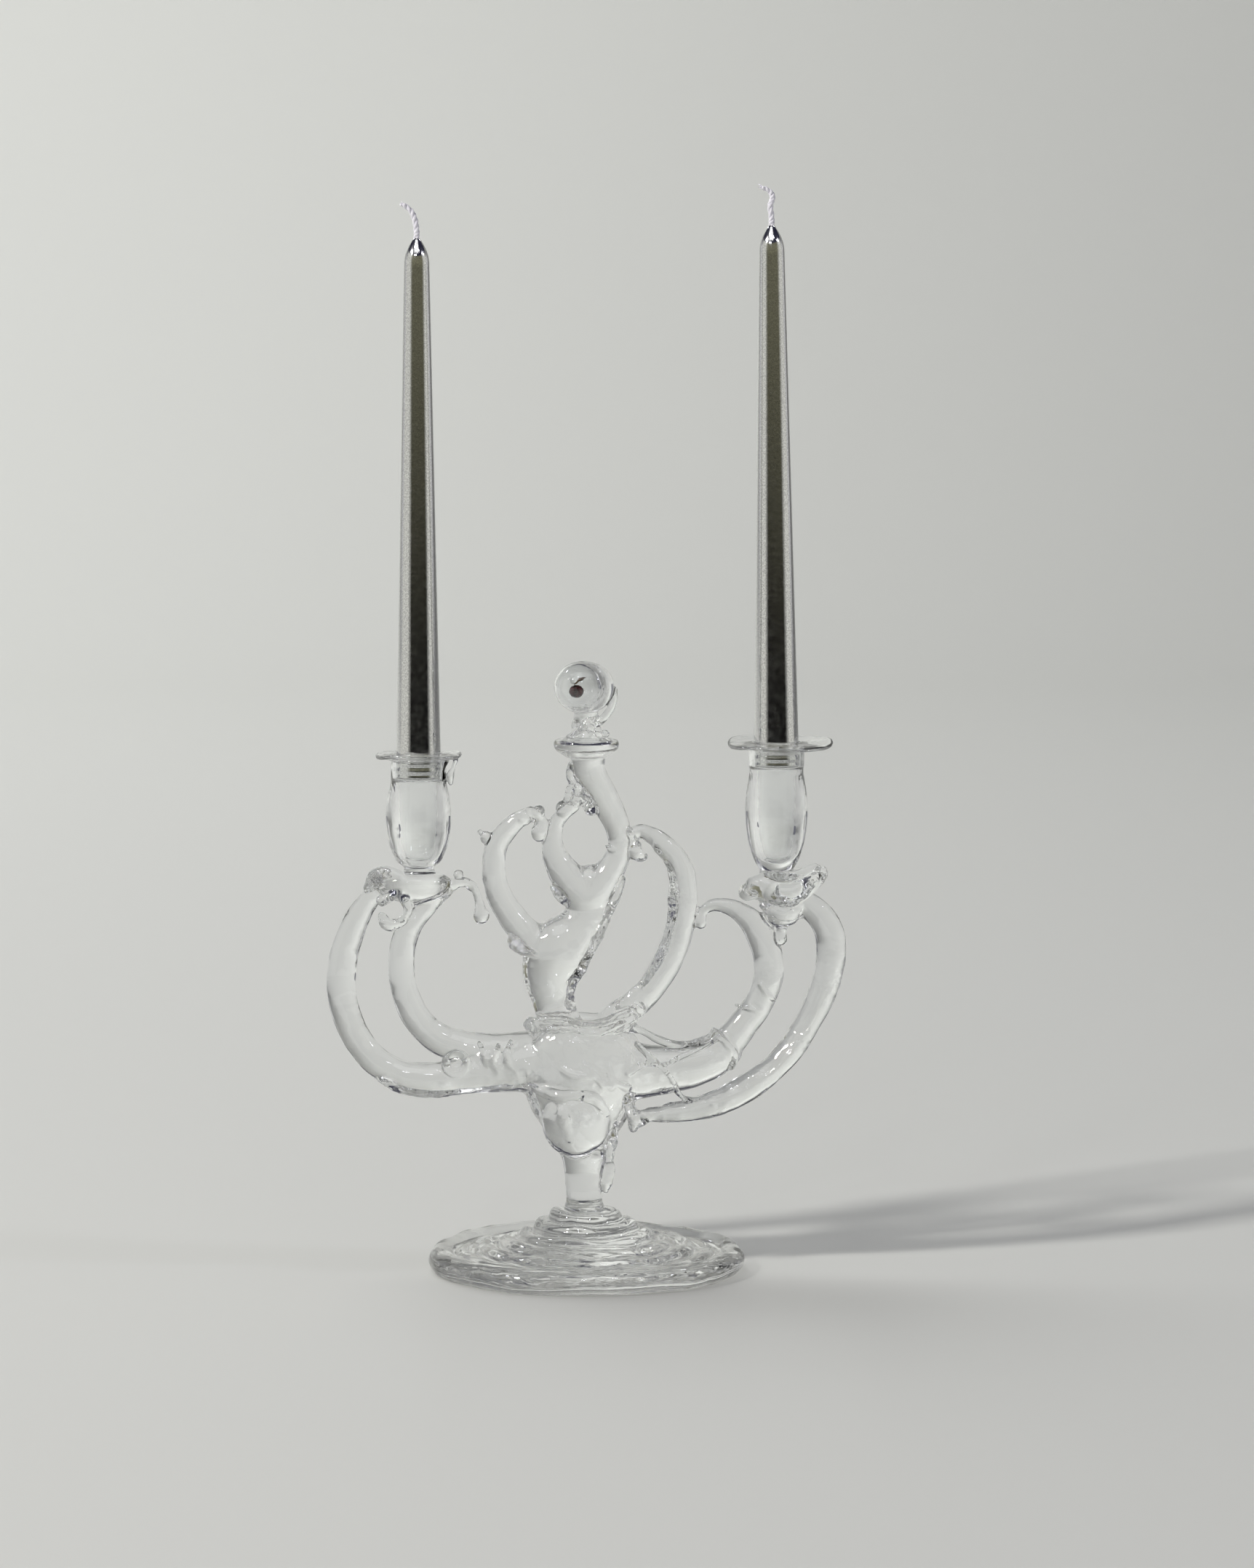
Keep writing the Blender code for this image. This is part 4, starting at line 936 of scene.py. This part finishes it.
for hand, base_x, seat, lean in (("left", LEFT_X, LEFT_SEAT, LEFT_LEAN),
                                 ("right", RIGHT_X, RIGHT_SEAT, RIGHT_LEAN)):
    taper = make_taper(hand + "_silver_taper", base_x, seat, lean)
    finish_piece(taper, hand + "_candle", hand + "_taper", slot="silver_wax", material=silver)

# %% [markdown]
# ## The wicks
# A wick is a plait of cotton strands. Three strands wind round the route here, and at the cut end they come
# apart into a few loose fibres.

# %% Cotton: matte, nearly white, with a little light passing through it
cotton = bpy.data.materials.new("plaited_cotton")
cotton.use_nodes = True
tree = cotton.node_tree
shader = tree.nodes["Principled BSDF"]
shader.inputs["Roughness"].default_value = 0.95
shader.inputs["Subsurface Weight"].default_value = 0.15
shader.inputs["Subsurface Radius"].default_value = (0.002, 0.002, 0.002)
place = add_node(tree, "ShaderNodeTexCoord")
fibre = add_node(tree, "ShaderNodeTexNoise", inputs={"Scale": 1 / (0.5 * MM), "Detail": 3.0},
                 links={"Vector": place.outputs["Object"]})
tint = add_node(tree, "ShaderNodeValToRGB", links={"Fac": fibre.outputs["Fac"]})
tint.color_ramp.elements[0].position, tint.color_ramp.elements[0].color = 0.3, linear("#E2DEEA")
tint.color_ramp.elements[1].position, tint.color_ramp.elements[1].color = 0.7, linear("#FBFAFC")
tree.links.new(tint.outputs["Color"], shader.inputs["Base Color"])
print("wicks:", cotton.name)


# %% Plait the strands and fray the end
def make_wick(name, start, route, loose):
    middle = smooth_line([(0, 0, -4)] + route, 8)
    strands = []
    for strand in range(3):
        stations = []
        for i, (x, y, z) in enumerate(middle):
            angle = math.tau * (strand / 3 + i / 14)
            spread = 0.7 + 0.35 * max(0, i - len(middle) + 6) / 6
            stations.append((start[0] + x + spread * math.cos(angle), start[1] + y + spread * math.sin(angle),
                             start[2] + z, 0.75))
        strands.append(draw_rod(name, stations))
    (x0, y0, z0), (x1, y1, z1) = middle[-6], middle[-1]
    ahead = Vector((x1 - x0, y1 - y0, z1 - z0)).normalized()
    for fibre in range(loose):
        angle = 2.4 * fibre
        aside = Vector((math.cos(angle) * 0.4, math.sin(angle), 0.5 * math.cos(1.7 * angle))) * 0.9
        tip = Vector((x1, y1, z1)) + ahead * (1.0 + 0.22 * fibre) + aside * (1.0 + 0.15 * fibre)
        root = Vector((x1, y1, z1)) - ahead * 0.8
        strands.append(draw_rod(name, [
            tuple(Vector(start) + root) + (0.22,),
            tuple(Vector(start) + (root + tip) / 2 + ahead * 0.3) + (0.2,),
            tuple(Vector(start) + tip) + (0.12,)]))
    select_only(*strands)
    bpy.ops.object.join()
    wick = bpy.context.active_object
    wick.name = wick.data.name = name
    bpy.ops.object.shade_smooth()
    return wick


LEFT_ROUTE = [(0, 0, 0), (0, 0, 3), (-0.8, 0, 8), (-2.6, 0, 12), (-6.2, 0, 15.0)]
RIGHT_ROUTE = [(0, 0, 0), (0, 0, 3), (-0.6, 0, 8.6), (0.4, 0, 12), (-0.6, 0, 15), (-4.0, 0, 17.0)]
left_wick = make_wick("left_plaited_wick", (LEFT_X, 0, LEFT_SEAT + TAPER_LENGTH), LEFT_ROUTE, 4)
finish_piece(left_wick, "left_candle", "left_wick", slot="wick_cotton", material=cotton)
right_tip = (RIGHT_X + RIGHT_LEAN * TAPER_LENGTH, 0, RIGHT_SEAT + TAPER_LENGTH)
right_wick = make_wick("right_plaited_wick", right_tip, RIGHT_ROUTE, 9)
finish_piece(right_wick, "right_candle", "right_wick", slot="wick_cotton", material=cotton)

# %% [markdown]
# ## The charm
# A small cluster sits in the bubble: a red glass bead, a clear one above it and a chip of amber glass. Coloured
# lamp glass is clear, but so deep in colour that a bead a few millimetres across lets little light through.

# %% Coloured glass
def deep_glass(name, tint):
    material = bpy.data.materials.new(name)
    material.use_nodes = True
    tree = material.node_tree
    shader = tree.nodes["Principled BSDF"]
    shader.inputs["IOR"].default_value = 1.52
    shader.inputs["Roughness"].default_value = 0.04
    shader.inputs["Transmission Weight"].default_value = 0.35
    place = add_node(tree, "ShaderNodeTexCoord")
    swirl = add_node(tree, "ShaderNodeTexNoise", inputs={"Scale": 1 / (2.5 * MM), "Detail": 2.0},
                     links={"Vector": place.outputs["Object"]})
    shades = add_node(tree, "ShaderNodeValToRGB", links={"Fac": swirl.outputs["Fac"]})
    shades.color_ramp.elements[0].position, shades.color_ramp.elements[0].color = 0.35, linear(tint[0])
    shades.color_ramp.elements[1].position, shades.color_ramp.elements[1].color = 0.7, linear(tint[1])
    tree.links.new(shades.outputs["Color"], shader.inputs["Base Color"])
    return material


red_bead = drop("red_charm_bead", (-3.6, 0, 276.8), (3.6, 3.0, 2.8), 16)
select_only(red_bead)
bpy.ops.object.shade_smooth()
finish_piece(red_bead, "candelabra", "charm_red_bead", slot="red_glass", material=deep_glass(
    "deep_red_lamp_glass", ("#5E1A22", "#9A3440")))
clear_bead = drop("clear_charm_bead", (-4.9, 0, 282.0), (1.8, 1.8, 1.7), 12)
select_only(clear_bead)
bpy.ops.object.shade_smooth()
finish_piece(clear_bead, "candelabra", "charm_clear_bead", slot="clear_glass", material=clear_glass)
chip = draw_rod("amber_charm_chip", [(-4.4, 0, 280.2, 0.5), (-2.6, 0, 281.8, 0.7),
                                     (-0.6, 0, 282.6, 0.6), (0.8, 0, 282.8, 0.3)])
bpy.ops.object.shade_smooth()
finish_piece(chip, "candelabra", "charm_amber_chip", slot="amber_glass", material=deep_glass(
    "amber_lamp_glass", ("#6E4A20", "#B07A3C")))
